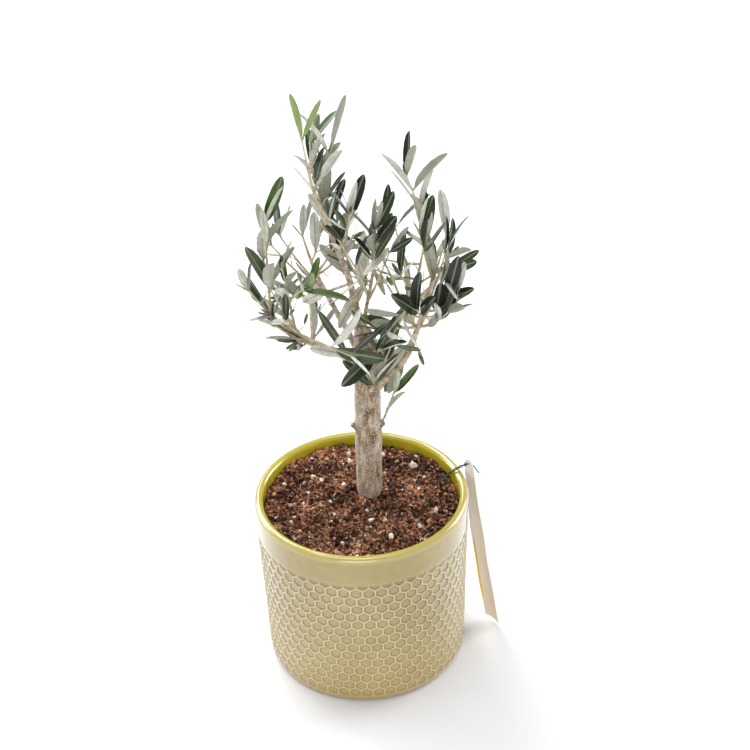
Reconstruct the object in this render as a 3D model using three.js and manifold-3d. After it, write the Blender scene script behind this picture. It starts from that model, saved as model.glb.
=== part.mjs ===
// A young olive tree in a round glazed pot, about 0.41 m tall, in millimetres with +Z up.
// The origin is at the middle of the pot's underside, on the surface that it stands on, and +Y runs from
// the front to the back. The pot holds potting soil, out of which a short, thick trunk rises. The trunk
// forks into six boughs, and each bough ends where it enters a spray: one mass of twigs and leaves.
// Olive leaves stand in pairs, and each pair is turned a quarter round the twig from the pair below it.
import * as THREE from "three";
import { mergeVertices } from "three/addons/utils/BufferGeometryUtils.js";
import Module from "manifold-3d";

const wasm = await Module();
wasm.setup();
const { Manifold, Mesh } = wasm;

// Clearance between neighbouring pieces.
const GAP = 0.3;

// The pot
const POT_HEIGHT = 124;
const RIM_RADIUS = 70;
const FOOT_RADIUS = 65.6;
const WALL = 6;
const FLOOR = 8;
const FOOT_EDGE = { flat: 61.5, height: 5 };
const POT_SIDES = 56;

// The soil
const SOIL_TOP = 115;
const SOIL_SWELL = 1.6;
const SOIL_SIDES = 40;

// The trunk, whose foot stands a little behind and to the right of the pot's middle
const TRUNK_FOOT = [5.6, 11];
const TRUNK_TOP = [7, 11, 236];
const TRUNK_RADII = [9.2, 8.6, 8.5, 8.8, 8.7, 8.4, 8.0, 8.2, 8.4, 7.2];
const TRUNK_SLOPE = 0.4;
const TRUNK_SIDES = 20;
const FLAT_ROUND_TRUNK = 15;

// Leaves: the stations of a blade from root to tip, as shares of its length and of half its width. The
// blade is flat above, and its midrib stands out below.
const LEAF = { length: 29, widthShare: 0.132, midrib: 0.7, arch: 0.1, sink: 0.5 };
const LEAF_STATIONS = [
  { at: 0, width: 0, rib: 0 },
  { at: 0.1, width: 0.3, rib: 1 },
  { at: 0.36, width: 1, rib: 0.8 },
  { at: 0.78, width: 0.9, rib: 0.6 },
  { at: 1, width: 0, rib: 0 },
];
const LEAF_LEAN = [0, 0, 0.25];
const NODE_SPACING = 12.5;
const NODES_TO_OPEN = 2;
const TURN_SPREAD = 36;
const OPENING_SPREAD = 10;
const TWIST_SPREAD = 80;
const LOST_LEAF_SHARE = 0.03;
const TWIG = { root: 0.95, tip: 0.5, sides: 3, steps: 4 };
const TOWARDS_FRONT = new THREE.Vector3(0, -1, 0);
const UP = new THREE.Vector3(0, 0, 1);

// Each limb runs through a few points, from inside the trunk to the tip of its spray. It is a bare bough
// for the share "bare" of its run, and its spray's stem after that. A side twig leaves the stem at the
// share "at" and ends at "tip", with its middle lifted by "bow". A stem or twig carries "pairs" pairs of
// leaves from its tip down: "roll" turns the pair at the tip, from 0 for front and back to 90 for left
// and right, and "open" is the angle between leaf and twig for that pair and for the pairs well below it.
// The leaves lean a little upwards, or as "lean" says.
const LIMBS = {
  leader: {
    seed: 188,
    points: [[5, 11, 222], [4, 11, 236], [-1, 13, 274], [-10, 12, 305], [-20.5, 9, 342], [-25, 5, 375]],
    bare: 0.38, bough: [5, 2.1], stem: [1.8, 0.5],
    pairs: 1, roll: 95, open: [6, 29], size: 1.15, lean: [0.3, 0, 0],
    twigs: [
      { seed: 491, at: 0.62, tip: [-17, 21, 341], bow: -3, pairs: 3, roll: 20, open: [36, 44],
        size: 0.95, lean: [-0.25, 0, 0.45] },
      { seed: 431, at: 0.8, tip: [-10, 17, 359], bow: -4, pairs: 4, roll: 70, open: [33, 40],
        size: 1.15, lean: [-0.4, 0, 0.25] },
      { seed: 141, at: 0.55, tip: [1, -8, 332], bow: -3, pairs: 4, roll: 115, open: [10, 6],
        size: 0.75, lean: [-0.4, 0, 0.05] },
      { seed: 202, at: 0.85, tip: [-21, 23, 363], bow: -2, pairs: 3, roll: 35, open: [10, 36],
        size: 0.8, lean: [0.5, 0, 0.4] },
      { seed: 662, at: 0.5, tip: [-19, 18, 340], bow: -2, pairs: 3, roll: 165, open: [6, 18],
        size: 0.95, lean: [0.35, 0, 0.35] },
      { seed: 291, at: 0.75, tip: [6, -3, 287], bow: -1, pairs: 1, roll: 140, open: [71, 45],
        size: 1.1, lean: [-0.25, 0, 0.05] },
      { seed: 458, at: 0.4, tip: [-41, 3, 271], bow: -2, pairs: 3, roll: 30, open: [6, 14],
        size: 1.05, lean: [0.55, 0, 0.4] },
    ],
  },
  left: {
    seed: 791,
    points: [[7, 10, 206], [-7, -1, 230], [-22, -8, 243], [-38, -14, 259], [-49, -18, 272]],
    bare: 0.42, bough: [2.9, 1.8], stem: [1.6, 0.8],
    pairs: 1, roll: 175, open: [46, 75], size: 0.8, lean: [0.15, 0, 0.3],
    twigs: [
      { seed: 484, at: 1, tip: [-49, -16, 332], bow: 0, pairs: 2, roll: 175, open: [26, 26],
        size: 1.05, lean: [0.6, 0, 0.6] },
      { seed: 602, at: 0.65, tip: [-47, -28, 295], bow: -1, pairs: 1, roll: 140, open: [29, 53],
        size: 1.05, lean: [0, 0, 0.5] },
      { seed: 469, at: 0.75, tip: [-60, -26, 294], bow: -2, pairs: 3, roll: 40, open: [18, 49],
        size: 0.75, lean: [0.2, 0, 0.4] },
      { seed: 5, at: 0.4, tip: [-46, -21, 266], bow: -2, pairs: 1, roll: 25, open: [20, 57],
        size: 0.75, lean: [0.15, 0, 0.05] },
      { seed: 281, at: 0.85, tip: [-29, -31, 296], bow: 5, pairs: 1, roll: 60, open: [63, 53],
        size: 0.95, lean: [0.4, 0, 0.15] },
      { seed: 1, at: 0.7, tip: [-40, -20, 304], bow: 2, pairs: 3, roll: 55, open: [6, 65],
        size: 0.75, lean: [0.35, 0, 0.55] },
      { seed: 927, at: 0.7, tip: [-53, 16, 290], bow: -3, pairs: 4, roll: 0, open: [43, 62],
        size: 0.95, lean: [0.5, 0, 0.6] },
      { seed: 421, at: 0.65, tip: [-40, -25, 271], bow: 0, pairs: 1, roll: 45, open: [37, 75],
        size: 0.75, lean: [0.1, 0, 0.55] },
      { seed: 856, at: 0.63, tip: [-34, -17, 252], bow: 0, pairs: 4, roll: 25, open: [17, 29],
        size: 0.75, lean: [0.1, 0, 0.3] },
      { seed: 504, at: 0.55, tip: [-23, 3, 257], bow: -2, pairs: 3, roll: 155, open: [41, 10],
        size: 0.9, lean: [0.2, 0, 0.15] },
      { seed: 74, at: 0.7, tip: [-3, -28, 248], bow: 0, pairs: 2, roll: 155, open: [67, 68],
        size: 1.15, lean: [0.45, 0, 0.55] },
      { seed: 9, at: 0.55, tip: [-25, -29, 292], bow: -2, pairs: 1, roll: 10, open: [22, 45],
        size: 0.9, lean: [0.55, 0, 0.2] },
      { seed: 118, at: 0.4, tip: [-31, -11, 248], bow: -1, pairs: 1, roll: 0, open: [31, 16],
        size: 1.1, lean: [-0.3, 0, 0.3] },
      { seed: 287, at: 0.6, tip: [-31, -15, 248], bow: -1, pairs: 3, roll: 40, open: [10, 60],
        size: 0.75, lean: [0.35, 0, 0.05] },
    ],
  },
  right: {
    seed: 125,
    points: [[8, 9, 194], [19, 5, 209], [32, 4, 226], [41, 8, 248], [48, 12, 270], [52, 15, 287]],
    bare: 0.5, bough: [3.2, 2.1], stem: [1.9, 0.9],
    pairs: 3, roll: 100, open: [33, 18], size: 0.9, lean: [-0.45, 0, 0.1],
    twigs: [
      { seed: 174, at: 1, tip: [35, 11, 346], bow: 3, pairs: 2, roll: 0, open: [22, 51],
        size: 1.15, lean: [0.45, 0, 0.2] },
      { seed: 238, at: 0.85, tip: [42, 8, 309], bow: -2, pairs: 2, roll: 70, open: [6, 14],
        size: 0.95, lean: [0.4, 0, 0.5] },
      { seed: 253, at: 0.8, tip: [58, 21, 299], bow: -2, pairs: 1, roll: 80, open: [18, 14],
        size: 1.05, lean: [0.1, 0, 0.55] },
      { seed: 426, at: 0.52, tip: [57, 3, 285], bow: -2, pairs: 2, roll: 65, open: [39, 53],
        size: 0.8, lean: [0.15, 0, 0.1] },
      { seed: 120, at: 0.57, tip: [63, -17, 277], bow: -5, pairs: 4, roll: 60, open: [52, 6],
        size: 0.9, lean: [0.05, 0, 0.4] },
      { seed: 113, at: 0.66, tip: [57, -6, 268], bow: -2, pairs: 3, roll: 5, open: [6, 32],
        size: 1.15, lean: [-0.05, 0, 0.25] },
      { seed: 636, at: 0.64, tip: [39, -12, 267], bow: -1, pairs: 2, roll: 5, open: [14, 32],
        size: 1.15, lean: [0.1, 0, 0.35] },
      { seed: 546, at: 0.8, tip: [21, -11, 253], bow: 2, pairs: 2, roll: 0, open: [57, 33],
        size: 0.9, lean: [0.25, 0, 0.4] },
      { seed: 481, at: 0.56, tip: [18, -3, 249], bow: 1, pairs: 3, roll: 80, open: [24, 27],
        size: 0.9, lean: [-0.45, 0, 0.5] },
      { seed: 919, at: 0.55, tip: [15, 32, 293], bow: -2, pairs: 2, roll: 90, open: [22, 72],
        size: 0.85, lean: [-0.1, 0, 0.35] },
      { seed: 143, at: 0.7, tip: [30, 7, 281], bow: -2, pairs: 1, roll: 60, open: [25, 28],
        size: 0.85, lean: [0.15, 0, 0.3] },
      { seed: 637, at: 0.6, tip: [30, 7, 222], bow: 0, pairs: 2, roll: 135, open: [6, 6],
        size: 1.15, lean: [-0.2, 0, 0.1] },
      { seed: 330, at: 0.51, tip: [57, 8, 295], bow: -3, pairs: 1, roll: 95, open: [6, 75],
        size: 1.05, lean: [-0.1, 0, 0.25] },
      { seed: 331, at: 0.85, tip: [43, 23, 318], bow: -2, pairs: 2, roll: 105, open: [45, 10],
        size: 1, lean: [0, 0, 0.6] },
      { seed: 747, at: 0.55, tip: [14, 14, 288], bow: -2, pairs: 1, roll: 90, open: [35, 75],
        size: 0.85, lean: [0.1, 0, 0.35] },
    ],
  },
  middle: {
    seed: 545,
    points: [[9, 14, 222], [7, 18, 244], [11, 21, 265], [15, 24, 284], [20, 28, 301]],
    bare: 0.48, bough: [1.8, 1.2], stem: [1.2, 0.6],
    pairs: 3, roll: 170, open: [6, 6], size: 0.9, lean: [0, 0, 0.55],
    twigs: [
      { seed: 490, at: 0.45, tip: [-4, 33, 284], bow: -2, pairs: 3, roll: 140, open: [24, 52],
        size: 0.85, lean: [0.25, 0, 0.15] },
      { seed: 936, at: 0.66, tip: [21, 26, 267], bow: -3, pairs: 3, roll: 100, open: [6, 6],
        size: 0.75, lean: [-0.1, 0, 0.2] },
      { seed: 269, at: 0.56, tip: [-1, 31, 269], bow: -1, pairs: 3, roll: 135, open: [39, 71],
        size: 1.1, lean: [0.2, 0, 0.1] },
      { seed: 851, at: 0.4, tip: [23, -1, 302], bow: -2, pairs: 1, roll: 5, open: [6, 22],
        size: 0.8, lean: [0.6, 0, 0.6] },
      { seed: 535, at: 0.75, tip: [15, 9, 312], bow: -2, pairs: 4, roll: 30, open: [6, 6],
        size: 1, lean: [0.3, 0, 0.35] },
    ],
  },
  back_left: {
    seed: 288,
    points: [[6, 13, 212], [-3, 26, 228], [-14, 38, 246], [-24, 47, 266], [-30, 52, 286]],
    bare: 0.5, bough: [2.6, 1.7], stem: [1.5, 0.6],
    pairs: 1, roll: 15, open: [37, 18], size: 1.05, lean: [0.4, 0, 0.4],
    twigs: [
      { seed: 928, at: 0.55, tip: [-49, 42, 286], bow: -3, pairs: 1, roll: 5, open: [6, 71],
        size: 1.05, lean: [0.35, 0, 0.1] },
      { seed: 173, at: 0.71, tip: [-3, 60, 290], bow: -3, pairs: 2, roll: 5, open: [6, 25],
        size: 1, lean: [-0.1, 0, 0.1] },
      { seed: 629, at: 0.6, tip: [-44, 52, 287], bow: -3, pairs: 1, roll: 145, open: [59, 67],
        size: 1.1, lean: [0.3, 0, 0.6] },
      { seed: 192, at: 0.7, tip: [-5, 61, 270], bow: -2, pairs: 2, roll: 95, open: [64, 21],
        size: 0.95, lean: [-0.05, 0, 0.45] },
      { seed: 945, at: 0.8, tip: [-19, 65, 281], bow: -2, pairs: 3, roll: 170, open: [36, 67],
        size: 0.85, lean: [0.15, 0, 0.45] },
    ],
  },
  back_right: {
    seed: 684,
    points: [[9, 13, 204], [20, 24, 220], [31, 38, 236], [41, 48, 256], [46, 54, 276]],
    bare: 0.5, bough: [2.6, 1.7], stem: [1.5, 0.6],
    pairs: 1, roll: 10, open: [36, 15], size: 1.1, lean: [0.05, 0, 0.25],
    twigs: [
      { seed: 152, at: 0.5, tip: [56, 39, 234], bow: -3, pairs: 3, roll: 65, open: [54, 43],
        size: 0.8, lean: [-0.25, 0, 0.6] },
      { seed: 263, at: 0.85, tip: [5, 64, 269], bow: -3, pairs: 1, roll: 160, open: [6, 6],
        size: 1.1, lean: [-0.3, 0, 0] },
      { seed: 756, at: 0.7, tip: [60, 42, 272], bow: -3, pairs: 2, roll: 155, open: [59, 75],
        size: 1, lean: [0.3, 0, 0.6] },
      { seed: 414, at: 0.4, tip: [34, 47, 242], bow: -2, pairs: 1, roll: 125, open: [6, 24],
        size: 1.1, lean: [-0.1, 0, 0.6] },
      { seed: 883, at: 0.65, tip: [28, 45, 294], bow: -2, pairs: 1, roll: 60, open: [58, 6],
        size: 1.05, lean: [0.3, 0, 0.45] },
    ],
  },
};

// Sprays that grow straight from the trunk, with no bough of their own
const TRUNK_SPRAYS = {
  fork: {
    seed: 550,
    points: [[8, 9, 222], [9, 0, 230], [13, -9, 236], [15, -14, 242]],
    stem: [1.6, 0.6],
    pairs: 2, roll: 95, open: [52, 48], size: 1.15, lean: [-0.25, 0, 0.25],
    twigs: [
      { seed: 110, at: 0.55, tip: [-4, -8, 235], bow: -1, pairs: 1, roll: 35, open: [26, 6],
        size: 1.1, lean: [0.15, 0, 0.35] },
    ],
  },
  collar: {
    seed: 76,
    points: [[8, 9, 200], [9, 0, 203], [9.5, -5, 207], [10, -9, 212]],
    stem: [1.5, 0.6],
    pairs: 1, roll: 85, open: [52, 75], size: 1.1, lean: [-0.1, 0, 0.6],
    twigs: [
      { seed: 480, at: 0.7, tip: [23, 2, 236], bow: -1, pairs: 4, roll: 130, open: [75, 29],
        size: 0.85, lean: [-0.3, 0, 0.25] },
    ],
  },
  sprout: {
    seed: 818,
    points: [[8, 11, 167], [15, 8.5, 173], [19, 6, 184], [23, 4, 197]],
    stem: [1.2, 0.55],
    pairs: 2, roll: 55, open: [24, 10], size: 1, lean: [0.25, 0, 0.4],
    twigs: [],
  },
};

// The knob of a lost twig on the trunk's left and the collar of the sprout on its right
const TRUNK_KNOBS = [
  { from: [1, 10.5, 167], to: [-4.6, 9.6, 171], radii: [4, 1.9] },
  { from: [9, 10.5, 164], to: [16.4, 8.6, 172], radii: [4, 1.9] },
];

// The name tag: a plain strip of card, narrower at its head, that hangs outside the rim from a green wire
const TAG = { width: 13, headWidth: 8, taper: 0.45, thickness: 0.7, length: 130, steps: 20 };
const TAG_HEAD = [71.6, 19.4, 132.3];
const TAG_FOOT = [87.4, 9.2, 3.4];
const TAG_ACROSS = [0.64, -0.77, 0];
const TAG_BOW = -1;
const WIRE_RADIUS = 0.6;
const WIRE_POINTS = [[53.6, 20, 115.8], [57.6, 19.6, 120.4], [62.3, 18.8, 125.2], [67.5, 19, 127.9],
  [72.2, 19.4, 128.7], [74.4, 19.2, 127.4], [76.2, 18.9, 124.6], [78.1, 18.5, 121.6]];

const FINISHES = {
  glaze: { color: 0xbfb68c, roughness: 0.25, metalness: 0 },
  soil: { color: 0x4a2c1e, roughness: 0.95, metalness: 0 },
  bark: { color: 0x9b8e7c, roughness: 0.8, metalness: 0 },
  leaves: { color: 0x4f6650, roughness: 0.5, metalness: 0 },
  wire: { color: 0x1f4a3c, roughness: 0.5, metalness: 0 },
  card: { color: 0xe9e2da, roughness: 0.8, metalness: 0 },
};

const vector = (p) => new THREE.Vector3(...p);
const mix = THREE.MathUtils.lerp;
const radians = THREE.MathUtils.degToRad;

// A seeded run of numbers between 0 and 1. The first few hang closely on the seed, so they are dropped.
function seeded(seed) {
  let state = seed;
  const next = () => {
    state = (state * 16807) % 2147483647;
    return state / 2147483647;
  };
  for (let i = 0; i < 4; i++) next();
  return next;
}

// A closed geometry as a manifold solid.
function solid(geometry) {
  const bare = geometry.clone();
  bare.deleteAttribute("normal");
  bare.deleteAttribute("uv");
  const merged = mergeVertices(bare, 1e-4);
  return new Manifold(
    new Mesh({
      numProp: 3,
      vertProperties: merged.attributes.position.array,
      triVerts: new Uint32Array(merged.index.array),
    }),
  );
}

// A manifold solid as a named mesh with one finish.
function piece(name, body, finish) {
  const { vertProperties, triVerts } = body.getMesh();
  const geometry = new THREE.BufferGeometry();
  geometry.setAttribute("position", new THREE.BufferAttribute(vertProperties, 3));
  geometry.setIndex(new THREE.BufferAttribute(triVerts, 1));
  geometry.computeVertexNormals();
  const mesh = new THREE.Mesh(geometry, new THREE.MeshStandardMaterial(FINISHES[finish]));
  mesh.name = name;
  return mesh;
}

// Moves every vertex of a geometry by a function of its place.
function reshape(geometry, move) {
  const places = geometry.attributes.position;
  const p = new THREE.Vector3();
  for (let i = 0; i < places.count; i++) {
    p.fromBufferAttribute(places, i);
    move(p);
    places.setXYZ(i, p.x, p.y, p.z);
  }
  return geometry;
}

// A profile of [radius, height] points turned about +Z.
function turned(profile, sides) {
  const points = profile.map(([r, z]) => new THREE.Vector2(r, z));
  return new THREE.LatheGeometry(points, sides).rotateX(Math.PI / 2);
}

// Two directions square to a tangent: one as far towards the front as it goes, or up where the tangent
// itself runs to the front, and one square to both.
function squareTo(tangent) {
  const along = Math.abs(tangent.dot(TOWARDS_FRONT)) > 0.94 ? UP : TOWARDS_FRONT;
  const first = along.clone().addScaledVector(tangent, -along.dot(tangent)).normalize();
  return { first, second: first.clone().cross(tangent) };
}

// A curve's tangent, taken over a short step, so that it doesn't hang on the curve's own measure.
function tangentAt(curve, t) {
  const step = 0.01;
  const ahead = curve.getPoint(Math.min(1, t + step));
  return ahead.sub(curve.getPoint(Math.max(0, t - step))).normalize();
}

// A round rod bent along part of a curve, with a radius for each place on it.
function rod(curve, from, to, radiusAt, sides, steps) {
  const straight = new THREE.CylinderGeometry(1, 1, 1, sides, steps);
  return reshape(straight, (p) => {
    const share = p.y + 0.5;
    const t = mix(from, to, share);
    const { first, second } = squareTo(tangentAt(curve, t));
    const radius = radiusAt(share);
    const across = first.multiplyScalar(p.x * radius).addScaledVector(second, p.z * radius);
    p.copy(curve.getPoint(t)).add(across);
  });
}

const limbCurve = (points) => new THREE.CatmullRomCurve3(points.map(vector), false, "catmullrom", 0.5);

// A side twig's curve, from its root on the stem to its tip.
function twigCurve(root, tip, bow) {
  const middle = root.clone().lerp(tip, 0.5);
  middle.z += 2 * bow;
  return new THREE.QuadraticBezierCurve3(root, middle, tip);
}

// A leaf's blade: a sphere of three sides, drawn out to the leaf's outline and arched towards its tip.
function blade(leaf, margin = 0) {
  const rings = LEAF_STATIONS.length - 1;
  const across = leaf.top.clone().cross(leaf.direction);
  const root = leaf.root.clone().addScaledVector(leaf.direction, -LEAF.sink);
  return reshape(new THREE.SphereGeometry(1, 3, rings), (p) => {
    const ring = Math.round((Math.acos(p.y) / Math.PI) * rings);
    const station = LEAF_STATIONS[ring];
    const isEnd = ring === 0 || ring === rings;
    const isEdge = !isEnd && Math.abs(p.z) > 0.1;
    const side = isEdge ? -Math.sign(p.z) : 0;
    const height = isEdge || isEnd ? margin : -LEAF.midrib * station.rib - margin;
    const sag = LEAF.arch * leaf.bend * station.at * station.at * leaf.length;
    p.copy(root)
      .addScaledVector(leaf.direction, station.at * leaf.length)
      .addScaledVector(across, side * (station.width * leaf.halfWidth + 2 * margin))
      .addScaledVector(leaf.top, height - sag);
  });
}

// The leaves of a stem or twig, in crossed pairs from its tip down.
function leavesOn(curve, { seed, pairs, roll, open, size = 1, lean = LEAF_LEAN }) {
  const random = seeded(seed);
  const leaves = [];
  const chord = curve.getPoint(0).distanceTo(curve.getPoint(1));
  for (let pair = 0; pair < pairs; pair++) {
    const t = 1 - (pair * NODE_SPACING) / chord;
    const tangent = tangentAt(curve, t);
    const { first, second } = squareTo(tangent);
    for (const side of [0, 1]) {
      const [lost, turn, wide, long, twist, bend] = Array.from({ length: 6 }, random);
      const angle = radians(roll + 90 * pair + 180 * side + TURN_SPREAD * (turn - 0.5));
      const opening = mix(...open, Math.min(1, pair / NODES_TO_OPEN)) + OPENING_SPREAD * (2 * wide - 1);
      const outward = first.clone().multiplyScalar(Math.cos(angle));
      outward.addScaledVector(second, Math.sin(angle));
      const direction = tangent.clone().multiplyScalar(Math.cos(radians(opening)));
      direction.addScaledVector(outward, Math.sin(radians(opening)));
      direction.add(vector(lean)).normalize();
      const top = tangent.clone().addScaledVector(outward, -0.2);
      top.addScaledVector(direction, -top.dot(direction)).normalize();
      top.applyAxisAngle(direction, radians(TWIST_SPREAD * (twist - 0.5)));
      const length = LEAF.length * size * mix(0.84, 1.16, long);
      const halfWidth = LEAF.widthShare * length;
      const leaf = { root: curve.getPoint(t), direction, top, length, halfWidth, bend: 2 * bend - 0.5 };
      if (lost >= LOST_LEAF_SHARE && t > 0) leaves.push(leaf);
    }
  }
  return leaves;
}

// Every body made so far, by name. A spray's twigs and leaves keep clear of all but their own.
const made = new Map();
function allBut(name) {
  const others = [...made].filter(([other]) => other !== name);
  return Manifold.union(others.map(([, body]) => body));
}

function pot() {
  const outside = (z) => mix(FOOT_RADIUS, RIM_RADIUS, z / POT_HEIGHT);
  const bevel = outside(FOOT_EDGE.height) - FOOT_EDGE.flat;
  const lip = POT_HEIGHT - WALL / 2;
  const profile = [[0, 0]];
  for (const turn of [0, 30, 60, 90]) {
    const a = radians(turn);
    profile.push([FOOT_EDGE.flat + bevel * Math.sin(a), FOOT_EDGE.height * (1 - Math.cos(a))]);
  }
  for (const turn of [0, 30, 60, 90, 120, 150, 180]) {
    const a = radians(turn);
    profile.push([outside(lip) + (WALL / 2) * (Math.cos(a) - 1), lip + (WALL / 2) * Math.sin(a)]);
  }
  profile.push([outside(FLOOR) - WALL, FLOOR + 3], [outside(FLOOR) - WALL - 3, FLOOR], [0, FLOOR]);
  return turned(profile, POT_SIDES);
}

// How far the soil lies above or below its level, flat round the trunk.
function soilSwell(x, y) {
  const [footX, footY] = TRUNK_FOOT;
  const distance = Math.hypot(x - footX, y - footY);
  const away = THREE.MathUtils.smoothstep(distance, FLAT_ROUND_TRUNK, 2 * FLAT_ROUND_TRUNK);
  return SOIL_SWELL * away * (Math.sin(x / 17 + 0.6) * Math.cos(y / 21) - 0.5 * Math.cos(x / 9 - y / 13));
}

function soil() {
  const inside = (z) => mix(FOOT_RADIUS, RIM_RADIUS, z / POT_HEIGHT) - WALL - GAP - 0.2;
  const low = FLOOR + GAP;
  const profile = [[0, low], [inside(FLOOR) - 4, low], [inside(FLOOR), low + 4]];
  profile.push([inside(SOIL_TOP), SOIL_TOP]);
  for (const share of [0.8, 0.6, 0.4, 0.2, 0]) {
    profile.push([share * inside(SOIL_TOP), SOIL_TOP]);
  }
  return reshape(turned(profile, SOIL_SIDES), (p) => {
    if (p.z > SOIL_TOP - 1) p.z += soilSwell(p.x, p.y);
  });
}

function trunk(margin = 0) {
  const foot = [...TRUNK_FOOT, SOIL_TOP + GAP - margin];
  const top = [...TRUNK_TOP.slice(0, 2), TRUNK_TOP[2] + margin];
  const curve = new THREE.LineCurve3(vector(foot), vector(top));
  const spans = TRUNK_RADII.length - 1;
  const radiusAt = (share) => TRUNK_RADII[Math.round(share * spans)] + margin;
  const column = reshape(rod(curve, 0, 1, radiusAt, TRUNK_SIDES, spans), (p) => {
    const isTop = p.z > TRUNK_TOP[2] + margin - 1e-3;
    if (isTop) p.z -= TRUNK_SLOPE * (p.x - TRUNK_TOP[0] - (p.y - TRUNK_TOP[1]));
  });
  const parts = [solid(column)];
  for (const { from, to, radii } of TRUNK_KNOBS) {
    const knob = new THREE.LineCurve3(vector(from), vector(to));
    parts.push(solid(rod(knob, 0, 1, (share) => mix(...radii, share) + margin, 8, 1)));
  }
  return Manifold.union(parts);
}

// A limb's bare bough: the part of the limb from the trunk's skin to where its spray starts.
function bough(limb, fatTrunk) {
  const curve = limbCurve(limb.points);
  const radiusAt = (share) => mix(...limb.bough, share);
  const steps = 3 * (limb.points.length - 1);
  return solid(rod(curve, 0, limb.bare, radiusAt, 8, steps)).subtract(fatTrunk);
}

// A body without the small hollows that leaves close between them, whose skins are inside out.
function filled(body) {
  return Manifold.union(body.decompose().filter((skin) => skin.volume() > 0));
}

// A spray's stem, which starts just clear of its bough or, where it has none, of the trunk.
function stem(limb, fatTrunk) {
  const curve = limbCurve(limb.points);
  const start = limb.bare === undefined ? 0 : limb.bare + GAP / curve.getLength();
  const radiusAt = (share) => mix(...limb.stem, share);
  return solid(rod(curve, start, 1, radiusAt, 6, 8)).subtract(fatTrunk);
}

// A spray: its stem, its side twigs and their leaves, fused into one solid.
function spray(limb, ownStem, others) {
  const isClear = (geometry) => others.intersect(solid(geometry)).isEmpty();
  const curve = limbCurve(limb.points);
  const parts = [ownStem];
  const leaves = leavesOn(curve, limb);
  for (const twig of limb.twigs) {
    const path = twigCurve(curve.getPoint(twig.at), vector(twig.tip), twig.bow);
    const thickness = (share) => mix(TWIG.root, TWIG.tip, share);
    const onTwig = leavesOn(path, twig);
    if (!isClear(rod(path, 0, 1, (share) => thickness(share) + GAP, TWIG.sides, TWIG.steps))) continue;
    parts.push(solid(rod(path, 0, 1, thickness, TWIG.sides, TWIG.steps)));
    leaves.push(...onTwig);
  }
  for (const leaf of leaves) {
    if (isClear(blade(leaf, GAP))) parts.push(solid(blade(leaf)));
  }
  return filled(Manifold.union(parts));
}

// The middle line of the tag, from its head to its foot, bowed inwards a little.
function tagLine(share) {
  const line = vector(TAG_HEAD).lerp(vector(TAG_FOOT), share);
  line.x += TAG_BOW * Math.sin(Math.PI * share);
  return line;
}

function tagWire() {
  const curve = limbCurve(WIRE_POINTS);
  return rod(curve, 0, 1, () => WIRE_RADIUS, 8, 28);
}

function hangTag() {
  const across = vector(TAG_ACROSS).normalize();
  const down = vector(TAG_FOOT).sub(vector(TAG_HEAD)).normalize();
  const face = across.clone().cross(down).normalize();
  const card = new THREE.BoxGeometry(TAG.width, TAG.thickness, TAG.length, 2, 1, TAG.steps);
  reshape(card, (p) => {
    const share = 0.5 - p.z / TAG.length;
    const width = mix(TAG.headWidth, TAG.width, Math.min(1, share / TAG.taper));
    const [sideways, through] = [(p.x * width) / TAG.width, p.y];
    p.copy(tagLine(share));
    p.addScaledVector(across, sideways).addScaledVector(face, through);
  });
  const curve = limbCurve(WIRE_POINTS);
  const hole = rod(curve, 0.42, 0.72, () => WIRE_RADIUS + GAP, 10, 12);
  return solid(card).subtract(solid(hole));
}

const tree = new THREE.Group();
function add(name, body, finish) {
  made.set(name, body);
  tree.add(piece(name, body, finish));
}

add("pot", solid(pot()), "glaze");
add("soil", solid(soil()), "soil");
add("trunk", trunk(), "bark");
const fatTrunk = trunk(GAP);
for (const [name, limb] of Object.entries(LIMBS)) {
  add(`${name}_bough`, bough(limb, fatTrunk), "bark");
}
add("tag_wire", solid(tagWire()), "wire");
add("hang_tag", hangTag(), "card");

const crown = { ...LIMBS, ...TRUNK_SPRAYS };
const sprays = Object.entries(crown).map(([name, limb]) => [`${name}_spray`, limb]);
for (const [name, limb] of sprays) {
  made.set(name, stem(limb, fatTrunk));
}
for (const [name, limb] of sprays) {
  add(name, spray(limb, made.get(name), allBut(name)), "leaves");
}

export default tree;
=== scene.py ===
import math

import bmesh
import bpy
import numpy as np
from mathutils import Matrix, Vector, noise
from mathutils.bvhtree import BVHTree


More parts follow.
